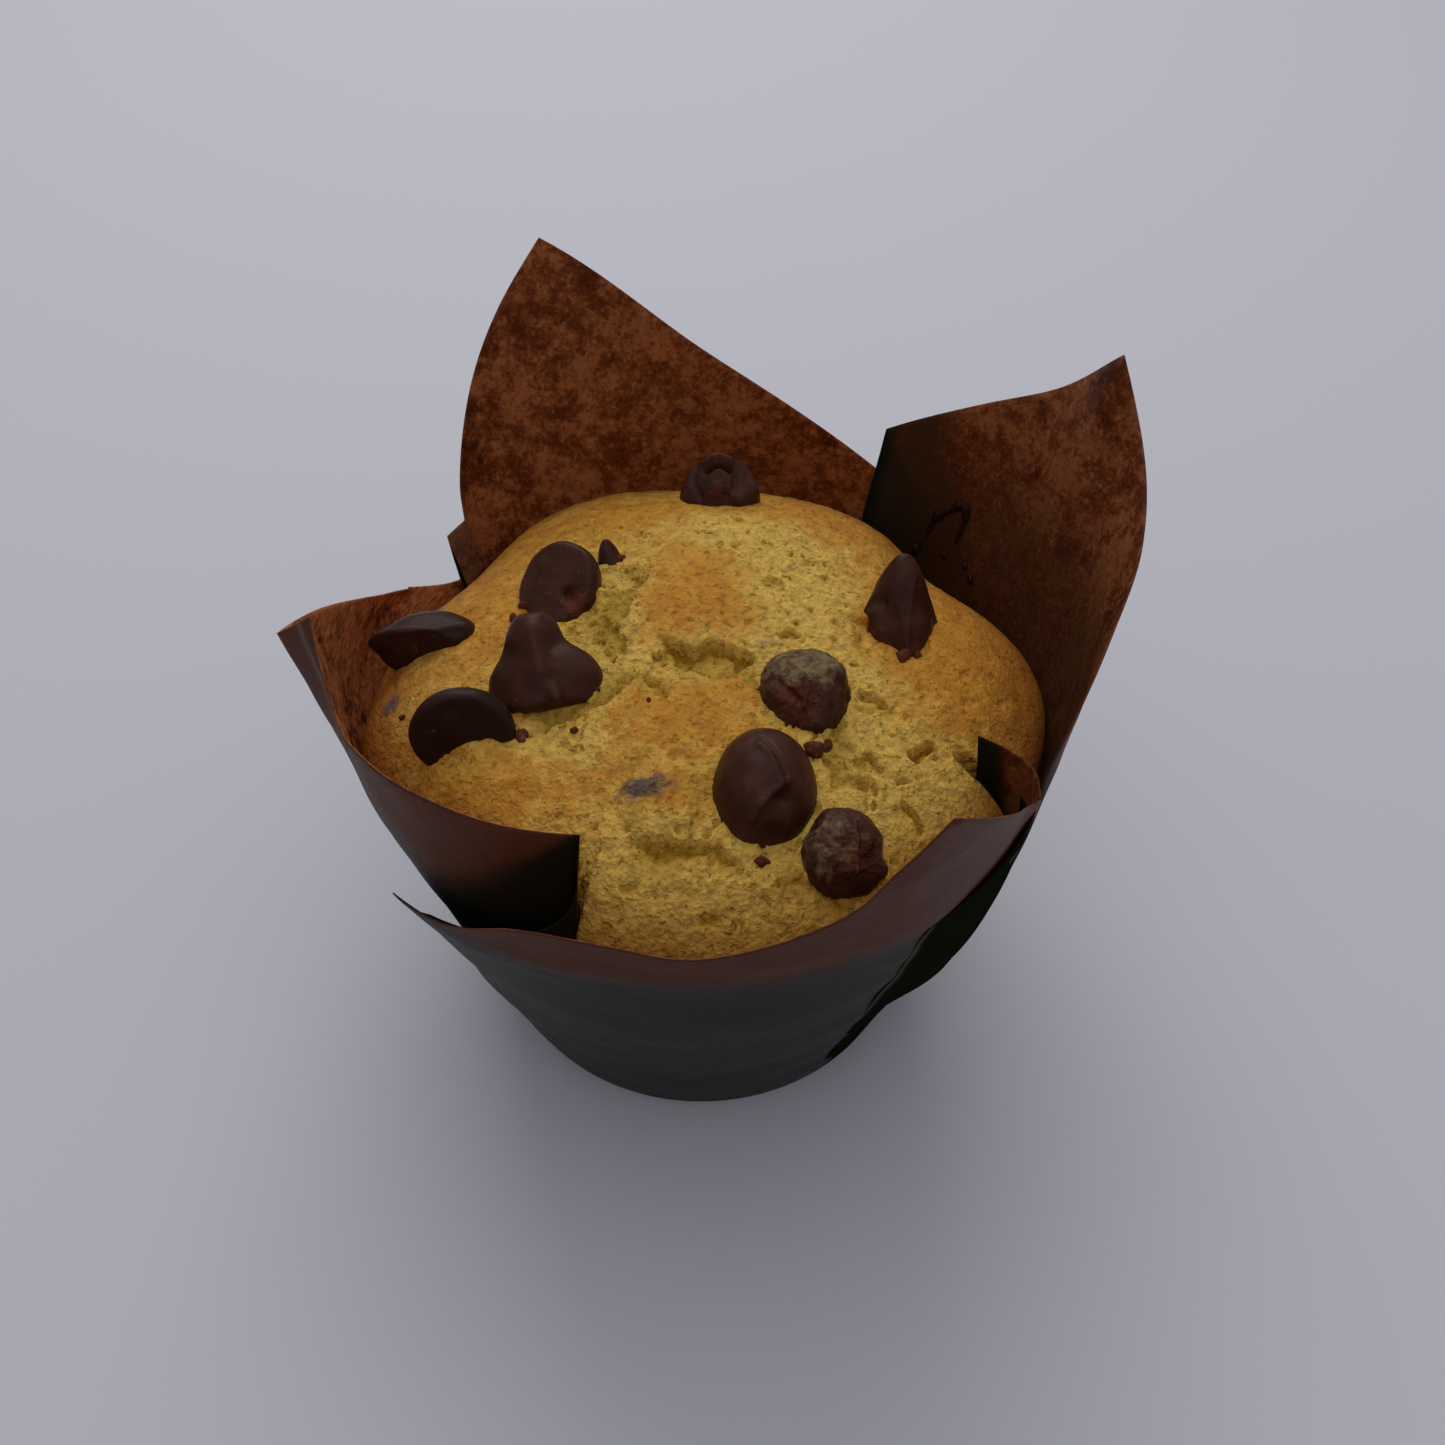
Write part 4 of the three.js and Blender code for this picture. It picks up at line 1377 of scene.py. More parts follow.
@dataclass
class Crumb:
    """The baked crumb: a crown on a square grid bent to a disc, and a side and flat underside.

    Attributes:
        case: the paper case that it fills.
        crown: what its crown is made of.
        rim_height: height where the crown starts.
        crown_height: how far its middle stands above that.
        radius: its mean radius.
        lobe: how much fuller it is towards the four corners of the sheet.
        lobe_azimuth: azimuth of one of them.
        pinches: where folds hold it back: azimuth, half width in degrees and depth.
        rim_start: share of the radius from where it gives way to the paper.
        gap: room between crumb and paper.
        asides: how far to the sides, in degrees, the paper is looked for.
        cells: cells along each side of the grid.
        side_heights: heights of the rings of the side, down to the underside.
        side_values: what the finish reads on the side.
        ragged: how far noise shifts what lies on the crown, and the width of its spots.
        wander: the same of a slower shift.
        large: the larger holes.
        small: the smaller holes.
        hole_depth: depth of a hole.
        still_rim: share of the radius, from the edge inward, over which the relief fades.
        seed: seed of the noise.
    """

    case: PaperCase
    crown: Crown = Crown()
    rim_height: float = 42.0
    crown_height: float = 13.5
    radius: float = 38.4
    lobe: float = 0.6
    lobe_azimuth: float = 23.0
    pinches: tuple[tuple[float, float, float], ...] = (
        (-4.0, 14.0, -0.9),
        (32.0, 16.0, 4.6),
        (93.0, 16.0, 0.9),
        (147.0, 20.0, 3.7),
        (181.0, 12.0, 1.2),
    )
    rim_start: float = 0.72
    gap: float = 0.22
    asides: tuple[float, ...] = (-0.6, -0.2, 0.2, 0.6)
    cells: int = 300
    side_heights: tuple[float, ...] = (36.0, 26.0, 14.0, 5.0, 0.5)
    side_values: tuple[tuple[str, float], ...] = (("crust", 0.5), ("browning", 0.9))
    ragged: tuple[float, float] = (1.7, 3.2)
    wander: tuple[float, float] = (0.6, 6.0)
    large: Pits = Pits(3.1, 0.30, 0.25, 0.75, 3)
    small: Pits = Pits(1.5, 0.34, 0.14, 0.38, 4)
    hole_depth: float = 0.6
    still_rim: float = 0.1
    seed: int = 5

    def __post_init__(self) -> None:
        """Draws the noise, and makes room for the points of the crown."""
        self.noise = GradientNoise(self.seed)
        self.crest = np.zeros((0, 3))

    def outline(self, azimuth: np.ndarray) -> np.ndarray:
        """Radius of the crown, radius + lobe cos 4(a - a0), less a bell at each pinch."""
        full = self.radius + self.lobe * np.cos(np.radians(4.0 * (azimuth - self.lobe_azimuth)))
        for at, half, depth in self.pinches:
            full = full - depth * bell((azimuth - at + 180.0) % 360.0 - 180.0, half)
        return full

    def limit(self, azimuth: np.ndarray, height: float) -> np.ndarray:
        """How far the crumb may reach: just inside the innermost paper, also a little aside."""
        near = [self.case.innermost(azimuth + aside, height) for aside in self.asides]
        return np.min(near, axis=0) - self.gap

    def zones(self, places: np.ndarray, zones: tuple[Zone, ...]) -> np.ndarray:
        """The sum of oval patches, each strength exp(-d^2) of the share d of its half widths."""
        total = np.zeros(places.shape[:-1])
        for zone in zones:
            away = ((places - zone.at) / zone.half) ** 2
            total += zone.strength * np.exp(-(away[..., 0] + away[..., 1]))
        return total

    def shifted(self, flat: np.ndarray) -> np.ndarray:
        """Places in plan shifted by noise, so that what is laid out there has ragged edges."""
        noise = self.noise
        (far, size), (slow, wide) = self.ragged, self.wander
        moved = [
            flat[..., axis]
            + far * noise.fractal(flat + start, size, 4)
            + slow * noise.at(flat / wide + slow_start)
            for axis, start, slow_start in ((0, 0.0, 0.0), (1, 31.7, 9.1))
        ]
        return np.stack(moved, axis=-1)

    def tear(self, places: np.ndarray, height: np.ndarray) -> tuple[np.ndarray, np.ndarray]:
        """Sinks the crown along its tears.

        At the distance s to the left of its path a tear sinks by depth exp(-s / width).

        Args:
            places: (..., 2) places in plan.
            height: heights there, which are changed.

        Returns:
            How torn the crumb is, and how far it is a hole painted dark as shade.
        """
        torn, pit = np.zeros(height.shape), np.zeros(height.shape)
        for tear in self.crown.tears:
            beside, along = beside_path(places, np.array(tear.path, float))
            ends = smoothstep(0.0, 0.2, along) * smoothstep(0.0, 0.2, 1.0 - along)
            rise = np.exp(-np.maximum(beside, 0.0) / tear.width)
            drop = smoothstep(-0.3, 0.25, beside) * rise * ends
            height -= tear.depth * drop
            torn = np.maximum(torn, np.minimum(1.0, drop * 1.5) * tear.pale)
            pit = np.maximum(pit, drop * (1.0 - tear.pale))
        return torn, pit

    def browning(self, azimuth: np.ndarray, share: np.ndarray) -> np.ndarray:
        """How brown the crust is: most at the rim, and there least at the front."""
        side = 0.58 + 0.42 * np.clip(0.5 + np.sin(np.radians(azimuth + 25.0)), 0.0, 1.0)
        side = np.maximum(side, np.abs(np.cos(np.radians(azimuth - 4.0))) ** 2)
        return (0.50 * smoothstep(0.45, 0.90, share) + 0.50 * smoothstep(0.80, 1.0, share)) * side

    def relief(
        self,
        x: np.ndarray,
        y: np.ndarray,
        share: np.ndarray,
    ) -> tuple[np.ndarray, dict[str, np.ndarray]]:
        """Height over the smooth crown, and what the finish reads.

        Plates stand proud by h (1 - d^4), tears sink, and noise of several sizes and small holes
        are added, rougher where the skin is torn.

        Args:
            x: first coordinate.
            y: second coordinate.
            share: share of the crown's radius.

        Returns:
            Heights, and the named values.
        """
        noise, crown = self.noise, self.crown
        flat = np.stack([x, y, np.zeros(x.shape)], axis=-1)
        places = self.shifted(flat)
        height = np.zeros(x.shape)
        for plate in crown.plates:
            off = places - plate.at
            d = np.hypot(off[..., 0], off[..., 1]) / plate.radius
            height += plate.height * np.clip(1.0 - d**4, 0.0, 1.0)
        torn, pit = self.tear(places, height)
        gold, pale = self.zones(places, crown.golden), self.zones(places, crown.pale)
        crust = 0.45 + gold - pale - 1.2 * torn
        rough = smoothstep(0.75, -0.1, crust)
        height += 0.30 * noise.fractal(flat, 9.0, 2) + 0.22 * noise.fractal(flat + 7.0, 3.2, 2)
        grainy = 0.11 + 0.24 * rough + 0.28 * torn
        height += grainy * (noise.clumps(flat + 3.0, 1.9) + 0.6 * noise.fractal(flat + 3.0, 1.0, 2))
        large = self.large.depth(places[..., 0], places[..., 1]) * (0.25 + 0.75 * rough)
        small = self.small.depth(places[..., 0], places[..., 1]) * (0.35 + 0.65 * rough)
        holes = np.maximum(large, small)
        height -= self.hole_depth * np.sqrt(holes)
        fade = np.clip((1.0 - share) / self.still_rim, 0.0, 1.0)
        values = {
            "crust": crust,
            "torn": torn,
            "browning": self.browning(np.degrees(np.arctan2(y, x)), share),
            # Painted shade: hollow and pit darken the colour in low places and holes.
            "hollow": (softened(height, 24) - height) * fade,
            "pit": np.maximum(pit, smoothstep(0.05, 0.9, holes) * 0.75),
            "cocoa": self.zones(places, crown.cocoa),
        }
        return height * fade, values

    def disc(self) -> tuple[np.ndarray, np.ndarray]:
        """A square grid bent to a disc: azimuths of its points, and their shares of the radius."""
        line = np.linspace(-1.0, 1.0, self.cells + 1)
        a, b = np.meshgrid(line, line, indexing="ij")
        share = np.maximum(np.abs(a), np.abs(b))
        with np.errstate(divide="ignore", invalid="ignore"):
            by_a = np.where(a < 0.0, 180.0, 0.0) + 45.0 * b / a
            by_b = np.where(b < 0.0, -90.0, 90.0) - 45.0 * a / b
        azimuth = np.where(share == 0.0, 0.0, np.where(np.abs(a) > np.abs(b), by_a, by_b))
        return np.nan_to_num(azimuth), share

    def surface(self) -> Surface:
        """The whole crumb as one closed surface."""
        azimuth, share = self.disc()
        full = self.outline(azimuth)
        lost = np.maximum(0.0, full - self.limit(azimuth, self.rim_height))
        near = np.clip((share - self.rim_start) / (1.0 - self.rim_start), 0.0, 1.0)
        plan = polar(azimuth, share * full - lost * near**1.5, 0.0)
        lift, values = self.relief(plan[..., 0], plan[..., 1], share)
        plan[..., 2] = self.rim_height + self.crown_height * np.sqrt(1.0 - share**2) + lift
        self.crest = plan.reshape(-1, 3)
        count = len(self.crest)
        index = np.arange(count).reshape(share.shape)
        edge = [index[:-1, 0], index[-1, :-1], index[:0:-1, -1], index[0, :0:-1]]
        edge = np.concatenate(edge)
        around = azimuth.ravel()[edge]
        rings = [polar(around, self.limit(around, h), h) for h in self.side_heights]
        points = np.concatenate([self.crest, *rings, [(0.0, 0.0, self.side_heights[-1])]])
        extra = len(points) - count
        last = len(points) - 1
        numbers = np.concatenate([edge[None], np.arange(count, last).reshape(len(rings), -1)])
        wrapped = np.concatenate([numbers, numbers[:, :1]], axis=1)
        foot = wrapped[-1]
        fan = np.stack([foot[:-1], np.full(len(edge), last), foot[1:]], axis=1)
        side = dict(self.side_values)
        filled = {
            key: np.concatenate([value.ravel(), np.full(extra, side.get(key, 0.0))])
            for key, value in values.items()
        }
        return Surface(points, [grid_faces(index), grid_faces(wrapped), fan], filled)

    def top(self, x: float, y: float) -> float:
        """Height of the finished crown at the point of it nearest to a place in plan."""
        away = np.hypot(self.crest[:, 0] - x, self.crest[:, 1] - y)
        return float(self.crest[np.argmin(away), 2])

    def build(self, finish: CrumbFinish) -> bpy.types.Object:
        """Makes the crumb."""
        piece = self.surface().build("baked_crumb", finish.material())
        place(piece, "crumb", "crumb")
        return piece


# ---------------------------------------------------------------- chocolate


@dataclass(frozen=True)
class Facet:
    """A flat worn or broken on a chip.

    Attributes:
        azimuth: azimuth it faces.
        elevation: and elevation.
        distance: its distance from the middle of the chip.
        soft: share of what lies past it that is left.
    """

    azimuth: float
    elevation: float
    distance: float
    soft: float = 0.12


@dataclass(frozen=True)
class Swelling:
    """A lump, or a dent where the height is negative, that faces one way.

    Attributes:
        azimuth: azimuth it faces.
        elevation: and elevation.
        spread: its half width, in degrees seen from the middle of the chip.
        height: its height.
    """

    azimuth: float
    elevation: float
    spread: float
    height: float


@dataclass(frozen=True)
class Crease:
    """A fine fold across a chip, through directions seen from its middle.

    Attributes:
        path: where it runs, in degrees to the right and up as seen from the front.
        width: its half width, as a share of the distance from the middle.
        height: its height, below 0 for a groove.
    """

    path: tuple[tuple[float, float], ...]
    width: float
    height: float

    def directions(self) -> np.ndarray:
        """Unit vectors along the path, eight for each piece."""
        corners = np.array([seen_from_front(*corner) for corner in self.path])
        t = np.linspace(0.0, 1.0, 8, endpoint=False)[None, :, None]
        line = (corners[:-1, None] * (1.0 - t) + corners[1:, None] * t).reshape(-1, 3)
        return unit(np.concatenate([line, corners[-1:]]))


@dataclass(frozen=True)
class Chip:
    """One chip: a drop with a round base and a blunt tip, worn and melted out of shape.

    Attributes:
        node: name of its solid.
        at: middle of its base.
        tip: azimuth and elevation of the way the tip points.
        size: the two widths of the base and the height of the drop.
        blunt: 0 for a pointed drop, 1 for a dome.
        facets: flats.
        swellings: lumps and dents.
        creases: fine folds.
        rough: height of its fine roughness.
        film: how much crumb or flour lies on it, and the way that face looks.
        broken: how much is broken open, the way that spot looks, and its spread in degrees.
        dark: painted shade: how much darker its colour is painted than the other chips', in place
            of the shade on its face.
        under: depth of the underside below the base.
        flat: share of the underside's width that is flat.
        taper: how far a pointed drop narrows to its tip.
        curve: below 1 where it narrows sooner.
        around: points round the drop.
    """

    node: str
    at: tuple[float, float, float]
    tip: tuple[float, float]
    size: tuple[float, float, float]
    blunt: float
    facets: tuple[Facet, ...] = ()
    swellings: tuple[Swelling, ...] = ()
    creases: tuple[Crease, ...] = ()
    rough: float = 0.05
    film: tuple[float, float, float] = (0.0, 0.0, 0.0)
    broken: tuple[float, float, float, float] = (0.0, 0.0, 0.0, 1.0)
    dark: float = 0.0
    under: float = 1.2
    flat: float = 0.62
    taper: float = 0.92
    curve: float = 0.8
    around: int = 144

    def outline(self) -> np.ndarray:
        """Radius share and height from the underside to the tip, with its bends softened.

        The underside is flat up to a share of the width and then a quarter round; above the base
        the width at the height share s is (1 - blunt)(1 - taper s^curve) + blunt sqrt(1 - s^2).
        """
        flat = np.linspace(0.0, self.flat, 12, endpoint=False)
        angle = np.linspace(0.0, np.pi / 2.0, 16, endpoint=False)
        s = np.sin(np.linspace(0.0, np.pi / 2.0, 44))
        width = (1.0 - self.blunt) * (1.0 - self.taper * s**self.curve)
        width = width + self.blunt * np.sqrt(1.0 - s * s)
        cap = np.linspace(width[-1], 0.0, 10)[1:]
        rounding = self.flat + (1.0 - self.flat) * np.sin(angle)
        radius = np.concatenate([flat, rounding, width, cap])
        tall = self.size[2]
        low, high = np.full(len(flat), -self.under), np.full(len(cap), tall)
        height = np.concatenate([low, -self.under * np.cos(angle), tall * s, high])
        line = np.stack([radius / 2.0, height], axis=1)
        eased(line, 5)
        return line

    def turned(self, local: np.ndarray) -> np.ndarray:
        """Local points, with the tip along +Z, turned and moved to the chip's place."""
        azimuth, elevation = self.tip
        forward = direction(azimuth, elevation)
        across = direction(azimuth + 90.0, 0.0)
        lean = np.cross(across, forward)
        return local @ np.stack([lean, across, forward]) + np.array(self.at)

    def surface(self, noise: GradientNoise) -> Surface:
        """The chip as a closed surface.

        Args:
            noise: the noise for its unevenness.

        Returns:
            The surface, with `film`, `broken` and `dark`.
        """
        line = self.outline()
        turn = np.linspace(0.0, 2.0 * np.pi, self.around, endpoint=False)[:, None]
        wide, deep, _ = self.size
        share, height = line[None, 1:-1, 0], line[None, 1:-1, 1]
        ring = [deep * share * np.cos(turn), wide * share * np.sin(turn), height + 0.0 * turn]
        ring = np.stack(ring, axis=-1)
        poles = [(0.0, 0.0, line[0, 1]), (0.0, 0.0, line[-1, 1])]
        points = self.turned(np.concatenate([ring.reshape(-1, 3), poles]))
        points = self.shaped(points, noise)
        look = unit(points - points.mean(axis=0))
        amount, azimuth, elevation = self.film
        values = {
            "film": amount * smoothstep(-0.1, 0.8, look @ direction(azimuth, elevation)),
            "broken": self.broken_at(look),
            "dark": np.full(len(points), self.dark),
        }
        return Surface(points, tube_faces(*ring.shape[:2]), values)

    def broken_at(self, look: np.ndarray) -> np.ndarray:
        """How far the chip is broken open where unit vectors from its middle point."""
        amount, azimuth, elevation, spread = self.broken
        return amount * bell(apart(look, azimuth, elevation), spread)

    def shaped(self, points: np.ndarray, noise: GradientNoise) -> np.ndarray:
        """Wears, swells and roughens the points.

        A facet moves what lies past its plane back on to it, a swelling moves points away from the
        middle by height exp(-(angle / spread)^2), and a crease by height exp(-(d / width)^2).

        Args:
            points: (n, 3) points.
            noise: the noise for the unevenness.

        Returns:
            The changed points.
        """
        middle = np.array(self.at) + direction(*self.tip) * (self.size[2] - self.under) / 2.0
        for facet in self.facets:
            normal = direction(facet.azimuth, facet.elevation)
            past = np.maximum(0.0, (points - middle) @ normal - facet.distance)
            points = points - normal * (past * (1.0 - facet.soft))[:, None]
        look = unit(points - middle)
        push = np.zeros(len(points))
        for swelling in self.swellings:
            angle = apart(look, swelling.azimuth, swelling.elevation)
            push += swelling.height * bell(angle, swelling.spread)
        for crease in self.creases:
            away = distance_to_path(look, crease.directions())
            push += crease.height * bell(away, crease.width)
        push += self.broken_at(look) * 1.1 * noise.fractal(points, 1.7, 3)
        push += 0.22 * noise.fractal(points, 4.0, 2) + self.rough * noise.fractal(points, 0.9, 3)
        return points + look * push[:, None]


CHIPS = (
    Chip(
        "chip_upper_left",
        (-15.6, 7.4, 54.0),
        (62, -55),
        (9.0, 10.4, 4.6),
        1.0,
        flat=0.84,
        swellings=(Swelling(-72, 26, 13, -1.7), Swelling(-40, 4, 16, 0.4)),
        broken=(1.1, -72.0, 24.0, 18.0),
        rough=0.03,
    ),
    Chip(
        "chip_small",
        (-9.8, 10.6, 51.9),
        (110, 58),
        (3.6, 2.8, 4.9),
        0.8,
        swellings=(Swelling(-20, 10, 30, 0.7),),
    ),
    Chip(
        "chip_left",
        (-15.9, -8.5, 52.2),
        (106, 52),
        (10.8, 9.4, 8.9),
        0.5,
        swellings=(
            Swelling(-14, -2, 26, 1.9),
            Swelling(40, 12, 26, -0.9),
            Swelling(-68, 5, 14, -0.8),
            Swelling(-68, 3, 8, 1.9),
            Swelling(196, -25, 24, 1.1),
            Swelling(-150, 30, 30, -0.5),
            Swelling(-13, 57, 22, -0.7),
        ),
        creases=(Crease(((-4, 46), (-2, 26), (4, -9), (12, -30)), 0.24, 0.38),),
        taper=0.62,
        curve=0.75,
    ),
    Chip(
        "chip_disc",
        (-23.8, -14.5, 52.8),
        (96, -20),
        (10.8, 9.8, 4.2),
        0.9,
        flat=0.86,
        rough=0.02,
        dark=0.75,
    ),
    Chip(
        "chip_far_left",
        (-29.9, 1.8, 49.6),
        (105, 24),
        (11.4, 6.6, 4.4),
        1.0,
        flat=0.8,
        swellings=(Swelling(197, 9, 14, 1.3), Swelling(-10, 22, 20, 0.9)),
        facets=(Facet(-98, 14, 2.4, 0.15),),
        creases=(Crease(((-58, 2), (-20, 4), (20, 8), (60, 12)), 0.12, 0.35),),
        dark=0.45,
    ),
    Chip(
        "chip_back",
        (2.3, 26.4, 51.0),
        (90, 72),
        (10.0, 6.4, 6.3),
        1.0,
        swellings=(
            Swelling(-25, 7, 16, 0.8),
            Swelling(-53, 2, 15, 0.9),
            Swelling(-73, 4, 13, -0.7),
        ),
        creases=(
            Crease(((-34, 24), (-16, 36), (0, 40), (26, 26)), 0.10, -1.3),
            Crease(((-36, 38), (-7, 54), (30, 42)), 0.12, 0.6),
            Crease(((30, 30), (38, 6), (36, -20)), 0.10, -0.5),
            Crease(((-63, 34), (-63, 4), (-50, -30)), 0.09, -1.0),
        ),
        broken=(0.5, -90.0, 20.0, 30.0),
    ),
    Chip(
        "chip_right",
        (22.0, 1.9, 51.2),
        (85, 66),
        (10.3, 9.2, 9.4),
        0.42,
        facets=(Facet(-32, 22, 2.45, 0.05), Facet(-138, 22, 2.6, 0.08)),
        swellings=(
            Swelling(-128, -22, 20, 1.3),
            Swelling(-152, 18, 16, -0.7),
            Swelling(-155, -4, 11, 1.0),
            Swelling(-50, -22, 24, 1.1),
        ),
        broken=(0.9, -78.0, -28.0, 12.0),
    ),
    Chip(
        "chip_middle",
        (10.9, -9.7, 52.8),
        (-100, 62),
        (10.1, 11.2, 4.6),
        1.0,
        rough=0.30,
        film=(0.76, 84.0, 44.0),
        broken=(0.7, -100.0, 40.0, 50.0),
        facets=(Facet(-20, 20, 4.2, 0.15), Facet(-75, 48, 3.0, 0.2), Facet(-130, 15, 4.4, 0.15)),
        swellings=(
            Swelling(95, 35, 16, -0.8),
            Swelling(-70, 0, 18, 0.9),
            Swelling(20, 30, 15, 0.9),
            Swelling(-160, 30, 14, 0.8),
        ),
        creases=(
            Crease(((-30, 60), (-4, 48), (8, 20), (2, -20)), 0.09, 0.45),
            Crease(((-50, 20), (-24, 6), (-6, -14)), 0.08, -0.5),
        ),
    ),
    Chip(
        "chip_dome",
        (6.7, -21.7, 51.4),
        (-92, 62),
        (10.5, 13.4, 6.0),
        1.0,
        creases=(
            Crease(((-30, 84), (27, 66), (33, 42), (36, 24), (34, 14)), 0.045, -0.36),
            Crease(((-20, 72), (12, 60), (22, 36), (24, 16)), 0.09, 0.22),
            Crease(((34, 14), (17, 0), (-6, -19), (-21, -38)), 0.12, 0.34),
        ),
        facets=(Facet(-82, 8, 4.6, 0.15),),
        swellings=(Swelling(-62, 22, 14, -0.8),),
    ),
    Chip(
        "chip_front_right",
        (14.2, -27.9, 49.7),
        (-70, 55),
        (8.4, 9.2, 3.2),
        1.0,
        rough=0.24,
        film=(0.46, -150.0, 48.0),
        broken=(0.6, -60.0, 40.0, 60.0),
        facets=(Facet(-10, 10, 3.2, 0.05), Facet(-70, 50, 2.3, 0.2)),
        swellings=(
            Swelling(-5, 45, 14, 0.7),
            Swelling(-20, -10, 14, 0.8),
            Swelling(150, 20, 20, -0.6),
        ),
        creases=(Crease(((30, 60), (26, 20), (22, -30)), 0.10, 0.5),),
    ),
)


@dataclass(frozen=True)
class ChocolateChips:
    """All chips, each its own piece in place of its solid.

    Attributes:
        chips: the chips.
        seed: seed of the noise that they share.
    """

    chips: tuple[Chip, ...] = CHIPS
    seed: int = 21

    def build(self, finish: ChocolateFinish) -> list[bpy.types.Object]:
        """Makes one piece for each chip, all in the same finish."""
        material = finish.material()
        noise = GradientNoise(self.seed)
        pieces = []
        for chip in self.chips:
            piece = chip.surface(noise).build("chocolate_" + chip.node, material)
            place(piece, "chocolate", chip.node)
            pieces.append(piece)
        return pieces


@dataclass(frozen=True)
class Smear:
    """A thin line of melted chocolate on the paper.

    Attributes:
        path: azimuths, heights and half widths along it.
        thickness: how far it stands out in its middle.
    """

    path: tuple[tuple[float, float, float], ...]
    thickness: float = 0.45


@dataclass(frozen=True)
class Smears:
    """Melted chocolate on the inner face of the back right panel.

    Attributes:
        lines: the smears.
        across: points round a smear.
        steps: pieces between two places of its path.
        sunk: how far it lies in the paper.
        blunt: turn in radians that its ends fall short of a point.
        uneven: how far its width and height vary.
        seed: seed of the noise.
    """

    lines: tuple[Smear, ...] = (
        Smear(
            (
                (44.8, 44.4, 0.4),
                (44.5, 46.0, 0.6),
                (44.0, 47.6, 0.8),
                (42.9, 48.6, 0.6),
                (41.6, 49.4, 0.35),
                (40.6, 50.3, 0.7),
                (39.3, 50.4, 0.8),
                (38.6, 49.4, 0.6),
                (38.5, 47.9, 0.55),
                (38.7, 46.4, 0.5),
                (38.8, 45.6, 0.2),
            )
        ),
        Smear(((46.6, 43.4, 0.3), (46.1, 42.6, 0.6), (45.9, 41.8, 0.4))),
        Smear(((45.7, 44.2, 0.2), (45.4, 43.5, 0.35), (45.1, 43.0, 0.2))),
        Smear(((40.6, 44.2, 0.3), (40.1, 43.7, 0.45), (39.6, 43.3, 0.2))),
        Smear(((35.6, 44.6, 0.2), (35.0, 44.2, 0.4), (34.5, 43.8, 0.3))),
        Smear(((33.6, 43.6, 0.3), (32.8, 43.1, 0.6), (31.9, 43.0, 0.4))),
    )
    across: int = 14
    steps: int = 8
    sunk: float = 0.06
    blunt: float = 0.06
    uneven: float = 0.5
    seed: int = 8

    def line(self, smear: Smear, case: PaperCase, noise: GradientNoise) -> Surface:
        """One smear as a closed surface: a flat oval profile carried along its path.

        Args:
            smear: the smear.
            case: the paper case that it lies on.
            noise: the noise for its unevenness.

        Returns:
            The surface, with `film`, `broken` and `dark`.
        """
        azimuth, height, half = smooth_rows(np.array(smear.path), self.steps).T
        radius = case.radius_at(BACK_RIGHT, azimuth, height) - case.thickness / 2.0
        middle = polar(azimuth, radius, height)
        inward = -polar(azimuth, np.ones(len(azimuth)), 0.0)
        aside = unit(np.cross(np.gradient(middle, axis=0), inward))
        turn = np.linspace(0.0, 2.0 * np.pi, self.across, endpoint=False)
        ends = np.sqrt(np.sin(np.linspace(self.blunt, np.pi - self.blunt, len(azimuth))))
        ends = ends[:, None, None]
        uneven = 1.0 + self.uneven * noise.fractal(middle, 1.6, 2)[:, None, None]
        wide = np.cos(turn)[None, :, None] * half[:, None, None] * ends * uneven
        proud = np.maximum(np.sin(turn), 0.0)[None, :, None] * smear.thickness * ends * uneven
        rings = middle[:, None] + aside[:, None] * wide + inward[:, None] * (proud - self.sunk)
        index = np.arange(rings.shape[0] * self.across).reshape(-1, self.across)
        index = np.concatenate([index, index[:, :1]], axis=1)
        middles = [rings[0].mean(axis=0), rings[-1].mean(axis=0)]
        points = np.concatenate([rings.reshape(-1, 3), middles])
        values = {name: np.zeros(len(points)) for name in ("film", "broken", "dark")}
        return Surface(points, [grid_faces(index), *fans(index.T)], values)

    def build(self, case: PaperCase, finish: ChocolateFinish) -> bpy.types.Object:
        """Makes all smears as one piece."""
        noise = GradientNoise(self.seed)
        surface = joined([self.line(smear, case, noise) for smear in self.lines])
        piece = surface.build("chocolate_smears", finish.material())
        place(piece, "chocolate")
        return piece


